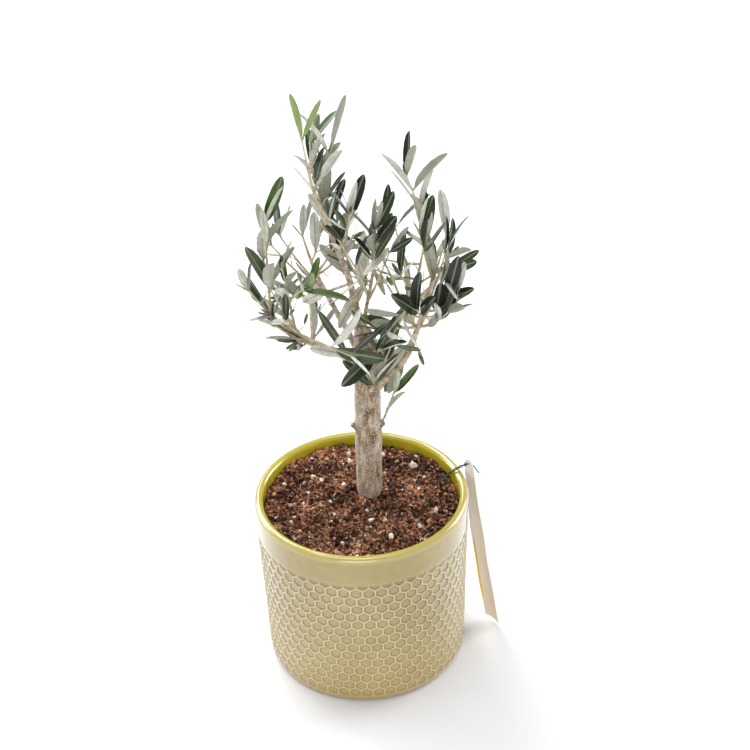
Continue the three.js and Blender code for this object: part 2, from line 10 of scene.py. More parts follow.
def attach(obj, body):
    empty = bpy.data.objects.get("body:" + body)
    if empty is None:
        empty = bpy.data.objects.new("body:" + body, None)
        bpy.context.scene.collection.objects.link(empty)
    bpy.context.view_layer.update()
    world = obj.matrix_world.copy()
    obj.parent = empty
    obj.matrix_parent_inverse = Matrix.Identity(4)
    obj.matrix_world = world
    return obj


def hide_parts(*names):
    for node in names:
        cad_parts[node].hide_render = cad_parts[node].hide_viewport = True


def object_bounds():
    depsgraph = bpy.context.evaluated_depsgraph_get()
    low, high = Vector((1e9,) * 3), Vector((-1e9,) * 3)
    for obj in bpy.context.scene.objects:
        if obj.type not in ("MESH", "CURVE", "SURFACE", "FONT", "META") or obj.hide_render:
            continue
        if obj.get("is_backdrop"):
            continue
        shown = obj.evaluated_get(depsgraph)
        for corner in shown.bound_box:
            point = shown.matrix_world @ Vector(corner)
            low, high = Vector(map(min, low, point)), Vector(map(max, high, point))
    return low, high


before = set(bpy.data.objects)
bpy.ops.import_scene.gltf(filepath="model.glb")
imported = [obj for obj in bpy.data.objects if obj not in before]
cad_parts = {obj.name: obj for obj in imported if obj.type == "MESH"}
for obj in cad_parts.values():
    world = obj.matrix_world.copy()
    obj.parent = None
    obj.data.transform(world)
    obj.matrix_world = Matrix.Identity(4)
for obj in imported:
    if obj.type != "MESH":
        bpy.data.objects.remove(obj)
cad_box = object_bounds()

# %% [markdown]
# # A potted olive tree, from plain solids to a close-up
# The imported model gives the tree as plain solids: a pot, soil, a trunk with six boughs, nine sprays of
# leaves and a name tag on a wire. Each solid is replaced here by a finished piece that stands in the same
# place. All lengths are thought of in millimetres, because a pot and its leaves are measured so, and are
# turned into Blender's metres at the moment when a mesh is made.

MM = 0.001


def let_go():
    """Leaves edit mode and drops the selection, so that the next operator acts on its own piece."""
    if bpy.context.mode != "OBJECT":
        bpy.ops.object.mode_set(mode="OBJECT")
    bpy.ops.object.select_all(action="DESELECT")


def take(obj):
    """Selects one object and makes it the active one."""
    let_go()
    obj.select_set(True)
    bpy.context.view_layer.objects.active = obj


def open_mesh(obj, kind):
    """Opens a mesh for editing, with all its corners, edges or faces chosen."""
    take(obj)
    bpy.ops.object.mode_set(mode="EDIT")
    bpy.ops.mesh.select_mode(type=kind)
    bpy.ops.mesh.select_all(action="SELECT")


def close_mesh():
    """Turns all faces outwards and leaves edit mode."""
    bpy.ops.mesh.select_all(action="SELECT")
    bpy.ops.mesh.normals_make_consistent(inside=False)
    let_go()


def christen(name):
    """Names the object that an operator has just made."""
    obj = bpy.context.object
    obj.name = obj.data.name = name
    return obj


def add_modifier(obj, name, kind, **settings):
    modifier = obj.modifiers.new(name, kind)
    for key, value in settings.items():
        setattr(modifier, key, value)


def apply_modifiers(obj):
    take(obj)
    for modifier in list(obj.modifiers):
        bpy.ops.object.modifier_apply(modifier=modifier.name)


def smooth(obj, edge_degrees=None):
    """Shades a piece smooth, apart from edges that are sharper than an angle."""
    take(obj)
    if edge_degrees is None:
        bpy.ops.object.shade_smooth()
    else:
        bpy.ops.object.shade_smooth_by_angle(angle=math.radians(edge_degrees))


def points_of(obj):
    """The points of a mesh as rows of x, y, z in millimetres."""
    flat = np.empty(3 * len(obj.data.vertices))
    obj.data.vertices.foreach_get("co", flat)
    return flat.reshape(-1, 3) / MM


def move_points(obj, rows):
    obj.data.vertices.foreach_set("co", (np.asarray(rows) * MM).ravel())
    obj.data.update()


def give(obj, **numbers):
    """Writes one number for each point of a mesh under each name, for a material to read."""
    for name, values in numbers.items():
        layer = obj.data.attributes.new(name, "FLOAT", "POINT")
        layer.data.foreach_set("value", np.asarray(values, dtype=np.float32))


def joined(name, parts, **numbers):
    """Many bodies of (rows, faces) as one piece, with a number or a row of numbers for each body."""
    rows, faces, total = [], [], 0
    for points, corners in parts:
        rows.append(points)
        faces += [[int(corner) + total for corner in face] for face in corners]
        total += len(points)
    mesh = bpy.data.meshes.new(name)
    mesh.from_pydata((np.vstack(rows) * MM).tolist(), [], faces)
    obj = bpy.data.objects.new(name, mesh)
    bpy.context.scene.collection.objects.link(obj)
    for key, series in numbers.items():
        spread = [np.broadcast_to(value, len(points)) for value, points in zip(series, rows)]
        give(obj, **{key: np.concatenate(spread)})
    return obj


def triangles(obj):
    return sum(len(face.vertices) - 2 for face in obj.data.polygons)


def finish_piece(obj, finishes, slot, *nodes):
    """Paints a piece, ties it to the object's one body and lets it stand for its solids."""
    obj.data.materials.clear()
    for finish in finishes:
        obj.data.materials.append(finish.material)
    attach(obj, "root")
    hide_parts(*nodes)
    print(f"{obj.name}: {triangles(obj)} triangles")


# %% [markdown]
# A finish is a small graph of nodes, and it is built by the same few moves each time: a cloudy or spotted
# pattern is made from the piece's own coordinates, a ramp turns it into colours, two colours are blended,
# and a bump is raised. Colours are given as they look on a screen, from 0 to 255, and turned into the
# linear numbers that a shader takes.

# %% Tools used by every finish


def srgb(*screen):
    """The linear numbers, with an opaque fourth one, of a screen colour."""
    shares = [value / 255 for value in screen]
    return (*(s / 12.92 if s <= 0.04045 else ((s + 0.055) / 1.055) ** 2.4 for s in shares), 1)


class Finish:
    """A material with one Principled shader, whose fixed values are set on its own sockets."""

    def __init__(self, name, **values):
        self.material = bpy.data.materials.new(name)
        self.material.use_nodes = True
        self.tree = self.material.node_tree
        self.shader = self.tree.nodes["Principled BSDF"]
        for socket, value in values.items():
            self.shader.inputs[socket.replace("_", " ")].default_value = value

    def feed(self, socket, source):
        """Links a socket to another node's output, or sets its value."""
        if isinstance(source, bpy.types.NodeSocket):
            self.tree.links.new(source, socket)
        else:
            socket.default_value = source

    def node(self, kind, inputs=(), **settings):
        """Adds a node, sets its properties, and feeds its inputs by name or number."""
        made = self.tree.nodes.new(kind)
        for key, value in settings.items():
            setattr(made, key, value)
        for socket, source in inputs:
            self.feed(made.inputs[socket], source)
        return made

    def number(self, name):
        """A number that was given to the points of the piece."""
        return self.node("ShaderNodeAttribute", attribute_name=name).outputs["Fac"]

    def here(self):
        """The piece's own coordinates, in metres."""
        return self.node("ShaderNodeTexCoord").outputs["Object"]

    def stretched(self, *scale):
        return self.node("ShaderNodeMapping", [("Vector", self.here()), ("Scale", scale)]).outputs["Vector"]

    def clouds(self, size_mm, detail, rough=0.5, where=None):
        """A cloudy pattern whose patches are about size_mm across."""
        return self.node("ShaderNodeTexNoise", [
            ("Vector", where or self.here()), ("Scale", 1 / (size_mm * MM)), ("Detail", detail),
            ("Roughness", rough)]).outputs["Fac"]

    def spots(self, size_mm, where):
        """The distance from the middle of the nearest of many cells, each about size_mm across."""
        return self.node("ShaderNodeTexVoronoi", [
            ("Vector", where), ("Scale", 1 / (size_mm * MM)), ("Randomness", 1)]).outputs["Distance"]

    def ramp(self, factor, *stops):
        """Turns a number into colours or greys: each stop is (place, red, green, blue) or (place, grey)."""
        made = self.node("ShaderNodeValToRGB", [("Fac", factor)])
        marks = made.color_ramp.elements
        while len(marks) < len(stops):
            marks.new(0.5)
        for mark, (at, *colour) in zip(marks, stops):
            mark.position = at
            mark.color = srgb(*colour) if len(colour) == 3 else (*colour * 3, 1)
        return made.outputs["Color"]

    def mixed(self, factor, first, second, **settings):
        """first where the factor is 0 and second where it is 1."""
        made = self.node("ShaderNodeMix", data_type="RGBA", **settings)
        sockets = {socket.identifier: socket for socket in (*made.inputs, *made.outputs)}
        for title, value in (("Factor_Float", factor), ("A_Color", first), ("B_Color", second)):
            self.feed(sockets[title], srgb(*value) if isinstance(value, tuple) else value)
        return sockets["Result_Color"]

    def sums(self, operation, *values):
        return self.node("ShaderNodeMath", enumerate(values), operation=operation).outputs[0]

    def colour(self, colour):
        self.feed(self.shader.inputs["Base Color"], colour)

    def bump(self, height, depth_mm):
        raised = self.node("ShaderNodeBump", [
            ("Height", height), ("Distance", depth_mm * MM), ("Strength", 1)])
        self.feed(self.shader.inputs["Normal"], raised.outputs["Normal"])


# %% [markdown]
# ## The studio
# The plant stands on a white table in a white room. A white world lights it softly from all sides. Wide
# lamps behind it, at its sides and over it brighten its edges and throw one weak shadow to the front, and a
# low one in front of it fills that shadow and lights the tag. The camera has a long lens and looks down on
# the pot, from the front.

# %% Camera, floor and light
CAMERA_PLACE = Vector((11.9, -936.2, 834.3)) * MM
LOOK_DOWN = 33.5
ROLL = 2.2
FOCAL_SHARE = 2.4  # focal length over the picture's width
SENSOR = 36.0

let_go()
bpy.ops.object.camera_add(location=CAMERA_PLACE)
camera = christen("camera")
tilt = Matrix.Rotation(math.radians(90 - LOOK_DOWN), 4, "X") @ Matrix.Rotation(math.radians(-ROLL), 4, "Z")
camera.matrix_world = Matrix.Translation(CAMERA_PLACE) @ tilt
camera.data.sensor_width = SENSOR
camera.data.lens = FOCAL_SHARE * SENSOR
bpy.context.scene.camera = camera
bpy.context.scene.view_settings.view_transform = "Standard"

let_go()
bpy.ops.mesh.primitive_plane_add(size=8, location=(0, 1, 0))
floor = christen("floor")
floor.data.materials.append(
    Finish("white_table", Base_Color=(0.87, 0.875, 0.9, 1), Roughness=0.9).material)
floor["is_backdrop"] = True

world = bpy.data.worlds.new("studio")
world.use_nodes = True
background = world.node_tree.nodes["Background"]
background.inputs["Color"].default_value = (0.98, 0.99, 1.0, 1)
background.inputs["Strength"].default_value = 0.5
bpy.context.scene.world = world

MIDDLE_OF_TREE = Vector((0, 0, 0.2))
SOFTBOXES = {  # place in metres, size in metres, power in watts
    "window_behind": ((-0.9, 1.7, 1.9), 1.3, 40),
    "window_left": ((-1.4, 0.9, 0.8), 0.9, 11),
    "window_right": ((1.4, 0.7, 0.8), 0.9, 15),
    "ceiling": ((-0.2, 0.1, 2.3), 1.4, 18),
    "window_front": ((-0.2, -2.2, 0.35), 1.4, 20),
}
for name, (place, size, power) in SOFTBOXES.items():
    let_go()
    bpy.ops.object.light_add(type="AREA", location=place)
    lamp = christen(name)
    lamp.data.size = size
    lamp.data.energy = power
    towards = MIDDLE_OF_TREE - Vector(place)
    lamp.matrix_world = Matrix.Translation(place) @ towards.to_track_quat("-Z", "Y").to_matrix().to_4x4()
print("camera at", [round(share / MM, 1) for share in CAMERA_PLACE], "mm, lens", camera.data.lens, "mm")

# %% [markdown]
# ## The pot
# The real pot is pressed or cast clay with a raised honeycomb net, dipped in a khaki glaze outside and a
# yellow-green one inside. The glaze runs thin on the net's edges, where it is paler and also carries a
# painted highlight, and lies thick in the cells, whose middles are painted lighter as a reflection. A bump
# map could hint at the net, but its outline would stay smooth, so one cell is modelled flat, repeated with
# two arrays, cut straight, and rolled up round the pot.

# %% One cell of the net
RIM_RADIUS = 70
FOOT_RADIUS = 65.6
POT_HEIGHT = 124
POT_WALL = 6
CELLS_ROUND = 54
ROW_STEP = 6.7
CELL_STEP = ROW_STEP * 2 / math.sqrt(3)
INSETS = ((0.17, 0), (0.75, 0.66), (1.0, 0.1))  # width and depth: half the net, slope, hollow
NET_DEPTH = sum(depth for width, depth in INSETS)


def wall_radius(z):
    return FOOT_RADIUS + (RIM_RADIUS - FOOT_RADIUS) * z / POT_HEIGHT


let_go()
bpy.ops.mesh.primitive_circle_add(vertices=6, radius=CELL_STEP / math.sqrt(3) * MM, fill_type="NGON")
pot = christen("glazed_pot")
open_mesh(pot, "FACE")
for width, depth in INSETS:
    bpy.ops.mesh.inset(thickness=width * MM, depth=-depth * MM)
bpy.ops.mesh.poke()
let_go()
print("one cell:", triangles(pot), "triangles, floor at", points_of(pot)[:, 2].min().round(2), "mm")

# %% [markdown]
# The net goes once round the pot in 54 cells. Two arrays lay the cells out as a flat sheet, and the second
# one is shifted by half a cell, as in a real honeycomb. Two cuts make the sheet's edges straight, and each
# point is then moved onto the wall, with the sheet's width as the way round. The relief fades out at both
# edges, so that the plain wall can grow from there. Merging the doubles closes the seam.

# %% Many cells, cut straight and rolled up
ROWS = 16
TOP_ROW = 95.3
RELIEF_TOP = 103.0
RELIEF_FOOT = 5.0
FADE_FROM, FADE_TOP, FADE_FOOT = 0.6, 2.8, 1.2  # how the relief runs out at its two edges
DOUBLES = 0.03
PROUD = 0.26
FIRST_TURN = 2.35

for title, count, right, up in (("round", CELLS_ROUND, CELL_STEP, 0),
                                ("up", ROWS, CELL_STEP / 2, ROW_STEP)):
    add_modifier(pot, title, "ARRAY", count=count, use_relative_offset=False, use_constant_offset=True,
                 constant_offset_displace=(right * MM, up * MM, 0))
apply_modifiers(pot)
flat = points_of(pot)
flat[:, 1] += TOP_ROW - ROW_STEP * (ROWS - 2)
move_points(pot, flat)
open_mesh(pot, "FACE")
for height, side in ((RELIEF_TOP, 1), (RELIEF_FOOT, -1)):
    bpy.ops.mesh.select_all(action="SELECT")
    bpy.ops.mesh.bisect(plane_co=(0, height * MM, 0), plane_no=(0, side, 0), clear_outer=True)
let_go()

flat = points_of(pot)
height = flat[:, 1]
turn = 2 * np.pi * flat[:, 0] / (CELLS_ROUND * CELL_STEP) + math.radians(FIRST_TURN)
relief = (np.clip((RELIEF_TOP - FADE_FROM - height) / FADE_TOP, 0, 1)
          * np.clip((height - RELIEF_FOOT) / FADE_FOOT, 0, 1))
radius = wall_radius(height) + (flat[:, 2] + PROUD) * relief
move_points(pot, np.stack([radius * np.sin(turn), -radius * np.cos(turn), height], axis=1))
open_mesh(pot, "FACE")
bpy.ops.mesh.remove_doubles(threshold=DOUBLES * MM)
let_go()
print("rolled up:", len(pot.data.polygons), "faces")

# %% [markdown]
# The plain band, the round lip, the inside and the foot grow from the two open edges of the net. Each step
# is the same pair of moves as on a potter's profile: extrude the edge, then resize and lift it to the next
# ring.

# %% Plain band, lip, inside and foot
LIP = POT_WALL / 2
LIP_HEIGHT = POT_HEIGHT - LIP
BAND_HEIGHTS = (105.5, 108, 111, 114, 117, 119)
WALL_HEIGHTS = (117, 112, 100, 80, 60, 40, 20, 12)
FLOOR_RINGS = [(55, 8.5), (50, 8), (25, 8), (0.5, 8)]
FOOT_RINGS = [(65.45, 3.6), (64.9, 1.9), (63.7, 0.6), (62, 0.02), (57.5, 0.02), (56.2, 0.5), (55.6, 1.4),
              (30, 1.4), (0.5, 1.4)]


def choose_edge(height_mm):
    """Selects the open edge that lies at a height."""
    bpy.ops.mesh.select_all(action="DESELECT")
    sheet = bmesh.from_edit_mesh(pot.data)
    for edge in sheet.edges:
        middle = (edge.verts[0].co.z + edge.verts[1].co.z) / 2
        edge.select_set(edge.is_boundary and abs(middle - height_mm * MM) < 0.3 * MM)
    bmesh.update_edit_mesh(pot.data)


def draw_on(rings, start, axis=(0, 0)):
    """Extrudes the chosen edge through rings of (radius, height) round an axis, and closes it there."""
    last_radius, last_height = start
    for radius, height in rings:
        lift = (0, 0, (height - last_height) * MM)
        bpy.ops.mesh.extrude_edges_move(TRANSFORM_OT_translate={"value": lift})
        share = radius / last_radius
        bpy.ops.transform.resize(value=(share, share, 1), center_override=(axis[0] * MM, axis[1] * MM, 0))
        last_radius, last_height = radius, height
    bpy.ops.mesh.merge(type="CENTER")


lip_rings = [(wall_radius(LIP_HEIGHT) - LIP + LIP * math.cos(a), LIP_HEIGHT + LIP * math.sin(a))
             for a in map(math.radians, range(0, 181, 20))]
upper = ([(wall_radius(z), z) for z in BAND_HEIGHTS] + lip_rings
         + [(wall_radius(z) - POT_WALL, z) for z in WALL_HEIGHTS] + FLOOR_RINGS)
open_mesh(pot, "EDGE")
for height, rings in ((RELIEF_TOP, upper), (RELIEF_FOOT, FOOT_RINGS)):
    choose_edge(height)
    draw_on(rings, (wall_radius(height), height))
close_mesh()
smooth(pot, 50)
print("with band, lip, inside and foot:", len(pot.data.polygons), "faces")

# %% [markdown]
# The glaze reads a few numbers that are written on the points. "hollow" is 0 on the net and 1 in the cells,
# "lining" is 1 inside the pot, "lip" at its upper edge and "bare_clay" on its unglazed foot ring, and
# "lowness" grows towards the table. Real glaze also varies a little from place to place, so a wide cloud
# pattern shifts the colour, and a fine one gives the surface its faint ripple.

# %% The glaze
PLAIN = 0.45  # "hollow" on the plain band, where the glaze is as thick as on a cell's slope
GOLDEN_BELOW = 80
LIP_FROM, LIP_FULL_AFTER = POT_HEIGHT - 4.5, 2.5
LINING_FROM, LINING_FULL_AFTER = 2.2, 2.0
FOOT_RING = 64
rows = points_of(pot)
rows[:, 2] = np.maximum(rows[:, 2], 0)
move_points(pot, rows)
height = rows[:, 2]
distance = np.hypot(rows[:, 0], rows[:, 1])
depth = wall_radius(height) + PROUD - distance
in_net = (height > RELIEF_FOOT - 0.1) & (height < RELIEF_TOP + 0.1) & (depth < 2)
lining = np.where(height > RELIEF_FOOT, np.clip((depth - LINING_FROM) / LINING_FULL_AFTER, 0, 1), 0)
give(pot, hollow=np.where(in_net, np.clip(depth / NET_DEPTH, 0, 1), PLAIN), lining=lining,
     lip=np.clip((height - LIP_FROM) / LIP_FULL_AFTER, 0, 1) * (1 - lining),
     bare_clay=np.where((height < 1.0) & (distance < FOOT_RING), 1.0, 0.0),
     lowness=np.clip(1 - height / GOLDEN_BELOW, 0, 1))

glaze = Finish("khaki_glaze", IOR=1.6, Coat_Weight=1.0, Coat_Roughness=0.06, Coat_IOR=1.6)
patches = glaze.mixed(0.5, glaze.clouds(45, 2), glaze.clouds(7, 2))
hollow, bare = glaze.number("hollow"), glaze.number("bare_clay")
# pale net crest: thin glaze plus a painted highlight; dark groove: thick glaze; lighter last stop in each
# cell's middle: painted reflection
thick = glaze.ramp(hollow, (0.0, 212, 193, 144), (0.16, 173, 153, 88), (0.45, 157, 136, 70),
                   (0.78, 118, 98, 40), (0.88, 114, 94, 36), (1.0, 158, 138, 74))
thin = glaze.ramp(hollow, (0.0, 230, 213, 168), (0.16, 186, 166, 102), (0.45, 167, 146, 80),
                  (0.78, 142, 122, 58), (0.88, 138, 118, 54), (1.0, 170, 151, 88))
outside = glaze.mixed(glaze.ramp(patches, (0.38, 0), (0.62, 1)), thick, thin)
outside = glaze.mixed(glaze.ramp(glaze.number("lowness"), (0, 0), (1, 0.35)), outside, (196, 166, 88))
outside = glaze.mixed(glaze.number("lip"), outside, (190, 174, 96))
inside = glaze.ramp(patches, (0.3, 182, 168, 22), (0.7, 194, 180, 36))
glaze.colour(glaze.mixed(bare, glaze.mixed(glaze.number("lining"), outside, inside), (205, 180, 150)))
glaze.feed(glaze.shader.inputs["Roughness"], glaze.ramp(bare, (0, 0.2), (1, 0.8)))
glaze.bump(glaze.clouds(6, 2), 0.12)
finish_piece(pot, [glaze], "glaze", "pot")

# %% [markdown]
# ## The soil
# Potting soil is peat, bark fibre and white perlite: a lumpy bed with loose crumbs on top. A flat disc with
# a bump would look like felt, and a particle system is hard to carry to another program. So the bed is a
# grid that is rounded to a disc and raised by noise, and the crumbs, grains and fibres are a few shapes
# that are scattered as real meshes, each kind joined into one piece.

# %% The bed of soil
SOIL_TOP = 115
SOIL_FOOT = 8.3
GAP = 0.3
SOIL_REACH = wall_radius(SOIL_TOP) - POT_WALL - GAP - 0.2
TRUNK_FOOT = (5.6, 11)
FLAT_ROUND_TRUNK = 15
SWELL = 1.6
HEAP = 3.0
HEAP_FROM, HEAP_WIDTH = 34, 24
CLOD, CRUMB, GRIT = (2.6, 11), (3.4, 5), (0.9, 1.7)  # height and size of each kind of lump
BED_SINK = 0.4
BED_STEPS = 150
BED_DROPS = (30, 60)
BED_FOOT_SHARE = 0.94


def eased(share):
    """0 to 1 with a soft start and a soft end."""
    share = np.clip(share, 0, 1)
    return share * share * (3 - 2 * share)


def from_trunk(x, y):
    return np.hypot(x - TRUNK_FOOT[0], y - TRUNK_FOOT[1])


def lump(x, y):
    """The rough relief at one place: soft clods, crumbs between them, and grit."""
    clod = noise.noise((x / CLOD[1], y / CLOD[1], 3.1))
    crumb = noise.turbulence((x / CRUMB[1], y / CRUMB[1], 7.7), 2, True) - 0.5
    return CLOD[0] * clod + CRUMB[0] * crumb + GRIT[0] * noise.noise((x / GRIT[1], y / GRIT[1], 1.3))


def soil_height(x, y):
    """How high the soil lies: flat round the trunk, in soft waves beyond, and heaped at the back."""
    away = eased((from_trunk(x, y) - FLAT_ROUND_TRUNK) / FLAT_ROUND_TRUNK)
    waves = np.sin(x / 17 + 0.6) * np.cos(y / 21) - 0.5 * np.cos(x / 9 - y / 13)
    at_back = np.clip(0.35 + 0.8 * y / np.hypot(x, y).clip(1), 0, 1)
    heap = HEAP * eased((np.hypot(x, y) - HEAP_FROM) / HEAP_WIDTH) * at_back
    rough = np.array([lump(*spot) for spot in zip(np.ravel(x), np.ravel(y))])
    return heap + SOIL_TOP + SWELL * away * waves + rough - BED_SINK


let_go()
bpy.ops.mesh.primitive_grid_add(x_subdivisions=BED_STEPS, y_subdivisions=BED_STEPS, size=2)
bed = christen("soil_bed")
square = points_of(bed) * MM
x = square[:, 0] * np.sqrt(1 - square[:, 1] ** 2 / 2) * SOIL_REACH
y = square[:, 1] * np.sqrt(1 - square[:, 0] ** 2 / 2) * SOIL_REACH
move_points(bed, np.stack([x, y, soil_height(x, y)], axis=1))
open_mesh(bed, "EDGE")
bpy.ops.mesh.select_all(action="DESELECT")
bpy.ops.mesh.select_non_manifold()
for drop in BED_DROPS:
    bpy.ops.mesh.extrude_edges_move(TRANSFORM_OT_translate={"value": (0, 0, -drop * MM)})
bpy.ops.transform.resize(value=(BED_FOOT_SHARE, BED_FOOT_SHARE, 1), center_override=(0, 0, 0))
bpy.ops.mesh.merge(type="CENTER")
close_mesh()
low = points_of(bed)
low[:, 2] = np.maximum(low[:, 2], SOIL_FOOT)
move_points(bed, low)
smooth(bed)
print("soil bed between", low[:, 2].min().round(1), "and", low[:, 2].max().round(1), "mm")

# %% [markdown]
# Real crumbs are broken, flat and tangled with fibres. A few small balls of triangles are dented by noise,
# and each copy takes one of them at its own size, stretch and turn, so that hardly two look the same. The
# crumbs have only 20 faces and the clods 80, because there are so many of them. A fibre is a thin tube
# along a path that wanders a little over the bed.

# %% One crumb and one fibre
CLEAR_OF_TRUNK = 9.5
FIBRE_LENGTHS, FIBRE_RADII, FIBRE_BEND, FIBRE_LIFT = (4, 13), (0.1, 0.24), 0.13, 0.75
dice = np.random.default_rng(7)


def rough_lump(detail, dents, seed):
    """One irregular crumb: a small ball of triangles, dented by noise."""
    let_go()
    bpy.ops.mesh.primitive_ico_sphere_add(subdivisions=detail, radius=MM)
    ball = bpy.context.object
    for vertex in ball.data.vertices:
        vertex.co *= 1 + dents * noise.noise(vertex.co / MM * 1.3 + Vector((seed * 5.1, 0, 0)))
    body = points_of(ball), [list(face.vertices) for face in ball.data.polygons]
    bpy.data.objects.remove(ball)
    return body


def any_turn():
    """A random rotation, as three rows."""
    q = dice.normal(size=4)
    w, i, j, k = q / np.linalg.norm(q)
    return np.array([
        [1 - 2 * (j * j + k * k), 2 * (i * j - k * w), 2 * (i * k + j * w)],
        [2 * (i * j + k * w), 1 - 2 * (i * i + k * k), 2 * (j * k - i * w)],
        [2 * (i * k - j * w), 2 * (j * k + i * w), 1 - 2 * (i * i + j * j)],
    ])


def somewhere(reach):
    """A random place on the soil, clear of the trunk."""
    while True:
        x, y = dice.uniform(-reach, reach, 2)
        if math.hypot(x, y) < reach and from_trunk(x, y) > CLEAR_OF_TRUNK:
            return x, y


def scatter(name, shapes, sizes, flatness, rise, brightest):
    """Copies of a few shapes, each turned and stretched its own way, lying on the bed."""
    parts, tones = [], []
    for size in sizes:
        points, corners = shapes[dice.integers(len(shapes))]
        stretch = size / 2 * np.array([1, dice.uniform(0.45, 0.95), dice.uniform(*flatness)])
        turned = (points * stretch) @ any_turn().T
        x, y = somewhere(SOIL_REACH - 1.1 * size)
        parts.append((turned + np.array([x, y, soil_height(x, y)[0] + rise * size]), corners))
        tones.append(brightest * dice.random())
    made = joined(name, parts, tone=tones)
    smooth(made, 35)
    return made


def tube(path, radii, sides):
    """A closed tube along a path of points, as rows and faces."""
    path = np.asarray(path, dtype=float)
    ahead = np.gradient(path, axis=0)
    ahead /= np.linalg.norm(ahead, axis=1)[:, None]
    side = np.cross(ahead, np.array([0.31, -0.93, 0.2]))
    side /= np.linalg.norm(side, axis=1)[:, None]
    other = np.cross(ahead, side)
    angles = (np.arange(sides) * 2 * np.pi / sides)[None, :, None]
    ring = np.cos(angles) * side[:, None, :] + np.sin(angles) * other[:, None, :]
    rows = (path[:, None, :] + ring * np.asarray(radii)[:, None, None]).reshape(-1, 3)
    last = len(rows) - sides
    faces = [(low + k, low + (k + 1) % sides, low + (k + 1) % sides + sides, low + k + sides)
             for low in range(0, last, sides) for k in range(sides)]
    return rows, faces + [tuple(range(sides - 1, -1, -1)), tuple(range(last, len(rows)))]


def fibre():
    """A thin bent fibre that lies on the bed."""
    x, y = somewhere(SOIL_REACH - 6)
    heading, length = dice.uniform(0, 2 * np.pi), dice.uniform(*FIBRE_LENGTHS)
    path = []
    for share in np.linspace(-0.5, 0.5, 6):
        heading += dice.normal(0, FIBRE_BEND)
        px, py = x + math.cos(heading) * share * length, y + math.sin(heading) * share * length
        path.append((px, py, soil_height(px, py)[0] + FIBRE_LIFT + 0.3 * dice.random()))
    return tube(path, np.full(6, dice.uniform(*FIBRE_RADII)), 4), dice.random()


# %% Crumbs, clods, grains and fibres
LUMP_SHAPES = 6
CRUMBS, CLODS, GRAINS, FIBRES = 2800, 420, 58, 230

small_lumps = [rough_lump(1, 0.5, seed) for seed in range(LUMP_SHAPES)]
big_lumps = [rough_lump(2, 0.7, seed) for seed in range(LUMP_SHAPES)]
crumbs = scatter("soil_crumbs", small_lumps, dice.gamma(4, 0.42, CRUMBS).clip(0.7, 4),
                 flatness=(0.25, 0.8), rise=0.16, brightest=1)
clods = scatter("soil_clods", big_lumps, dice.uniform(2.4, 5.5, CLODS),
                flatness=(0.3, 0.8), rise=0.05, brightest=0.6)
perlite = scatter("perlite_grains", big_lumps, dice.gamma(4, 0.62, GRAINS).clip(1.1, 5.2),
                  flatness=(0.6, 1), rise=0.22, brightest=1)
fibres, fibre_tones = zip(*[fibre() for _ in range(FIBRES)])
fibre_bundle = joined("soil_fibres", fibres, tone=fibre_tones)
print(CRUMBS, "crumbs,", CLODS, "clods,", GRAINS, "white grains and", FIBRES, "fibres")

# %% [markdown]
# Moist peat goes from almost black to red-brown, and so does the ramp of the bed; its darkest speckles are
# also painted shade in the holes between the crumbs. Each crumb takes its own brown from the number "tone",
# and its palest, near-white browns are painted highlights. A fine cloud pattern paints flecks of shade on the
# crumbs, and a wide one paints shade over broad patches. Perlite is white and chalky, and the fibres go from
# dark brown to straw.

# %% The finishes of the soil
peat = Finish("moist_peat", Roughness=0.8, Specular_IOR_Level=0.15)
speckled = peat.mixed(0.35, peat.clouds(2.2, 4, 0.65), peat.clouds(14, 2))
# the darkest, near-black stop also serves as painted shade in the holes between the crumbs
peat.colour(peat.ramp(speckled, (0.42, 16, 8, 5), (0.5, 92, 54, 38), (0.6, 206, 146, 112)))
peat.bump(peat.clouds(0.8, 4), 0.6)

crumb_finish = Finish("peat_crumbs", Roughness=0.5, Specular_IOR_Level=0.22)
# painted highlights: the palest, near-white stops of the crumbs' browns
tone = crumb_finish.ramp(crumb_finish.number("tone"), (0.0, 70, 36, 21), (0.3, 150, 91, 60),
                         (0.6, 226, 162, 118), (0.85, 246, 208, 176), (1.0, 255, 242, 228))
# painted shade in fine flecks on the crumbs
shade = crumb_finish.ramp(crumb_finish.clouds(1.9, 3), (0.43, 0.05), (0.52, 1))
# painted shade over broad patches of the crumbs
broad_painted_shade = crumb_finish.ramp(crumb_finish.clouds(13, 2), (0.4, 0.38), (0.56, 1))
shade = crumb_finish.sums("MULTIPLY", shade, broad_painted_shade)
crumb_finish.colour(crumb_finish.mixed(1.0, tone, shade, blend_type="MULTIPLY"))
crumb_finish.bump(crumb_finish.clouds(0.6, 3), 0.3)

perlite_finish = Finish("perlite", Roughness=0.8)
perlite_finish.colour(perlite_finish.ramp(perlite_finish.clouds(0.9, 3), (0.3, 214, 200, 184),
                                          (0.55, 250, 243, 234)))
perlite_finish.bump(perlite_finish.clouds(0.5, 3), 0.25)

fibre_finish = Finish("coir_fibre", Roughness=0.8)
fibre_finish.colour(fibre_finish.ramp(fibre_finish.number("tone"), (0.0, 64, 32, 20), (0.5, 128, 78, 54),
                                      (1.0, 226, 186, 150)))

for piece, finish in ((bed, peat), (crumbs, crumb_finish), (clods, crumb_finish), (perlite, perlite_finish),
                      (fibre_bundle, fibre_finish)):
    finish_piece(piece, [finish], "soil", "soil")

# %% [markdown]
# ## How the tree grows
# The tree follows the same rule as its plain solids. Each limb is a smooth curve through a few points, from
# inside the trunk to a tip. It is bare wood for the share "bare" of its run and the stem of a spray after
# that. A side twig leaves the stem at the share "at" and ends at "tip", with its middle lifted by "bow".
# "bough" and "stem" are the radii at the start and the end of each. Leaves stand in pairs from a tip down,
# and each pair is turned a quarter round from the one above. "roll" turns the first pair, and "opened" is
# the angle between leaf and twig for that pair and for those further down. "lean" draws the leaves to the
# right and up. A row's seed starts the run of numbers that gives each leaf its own turn, length and twist.

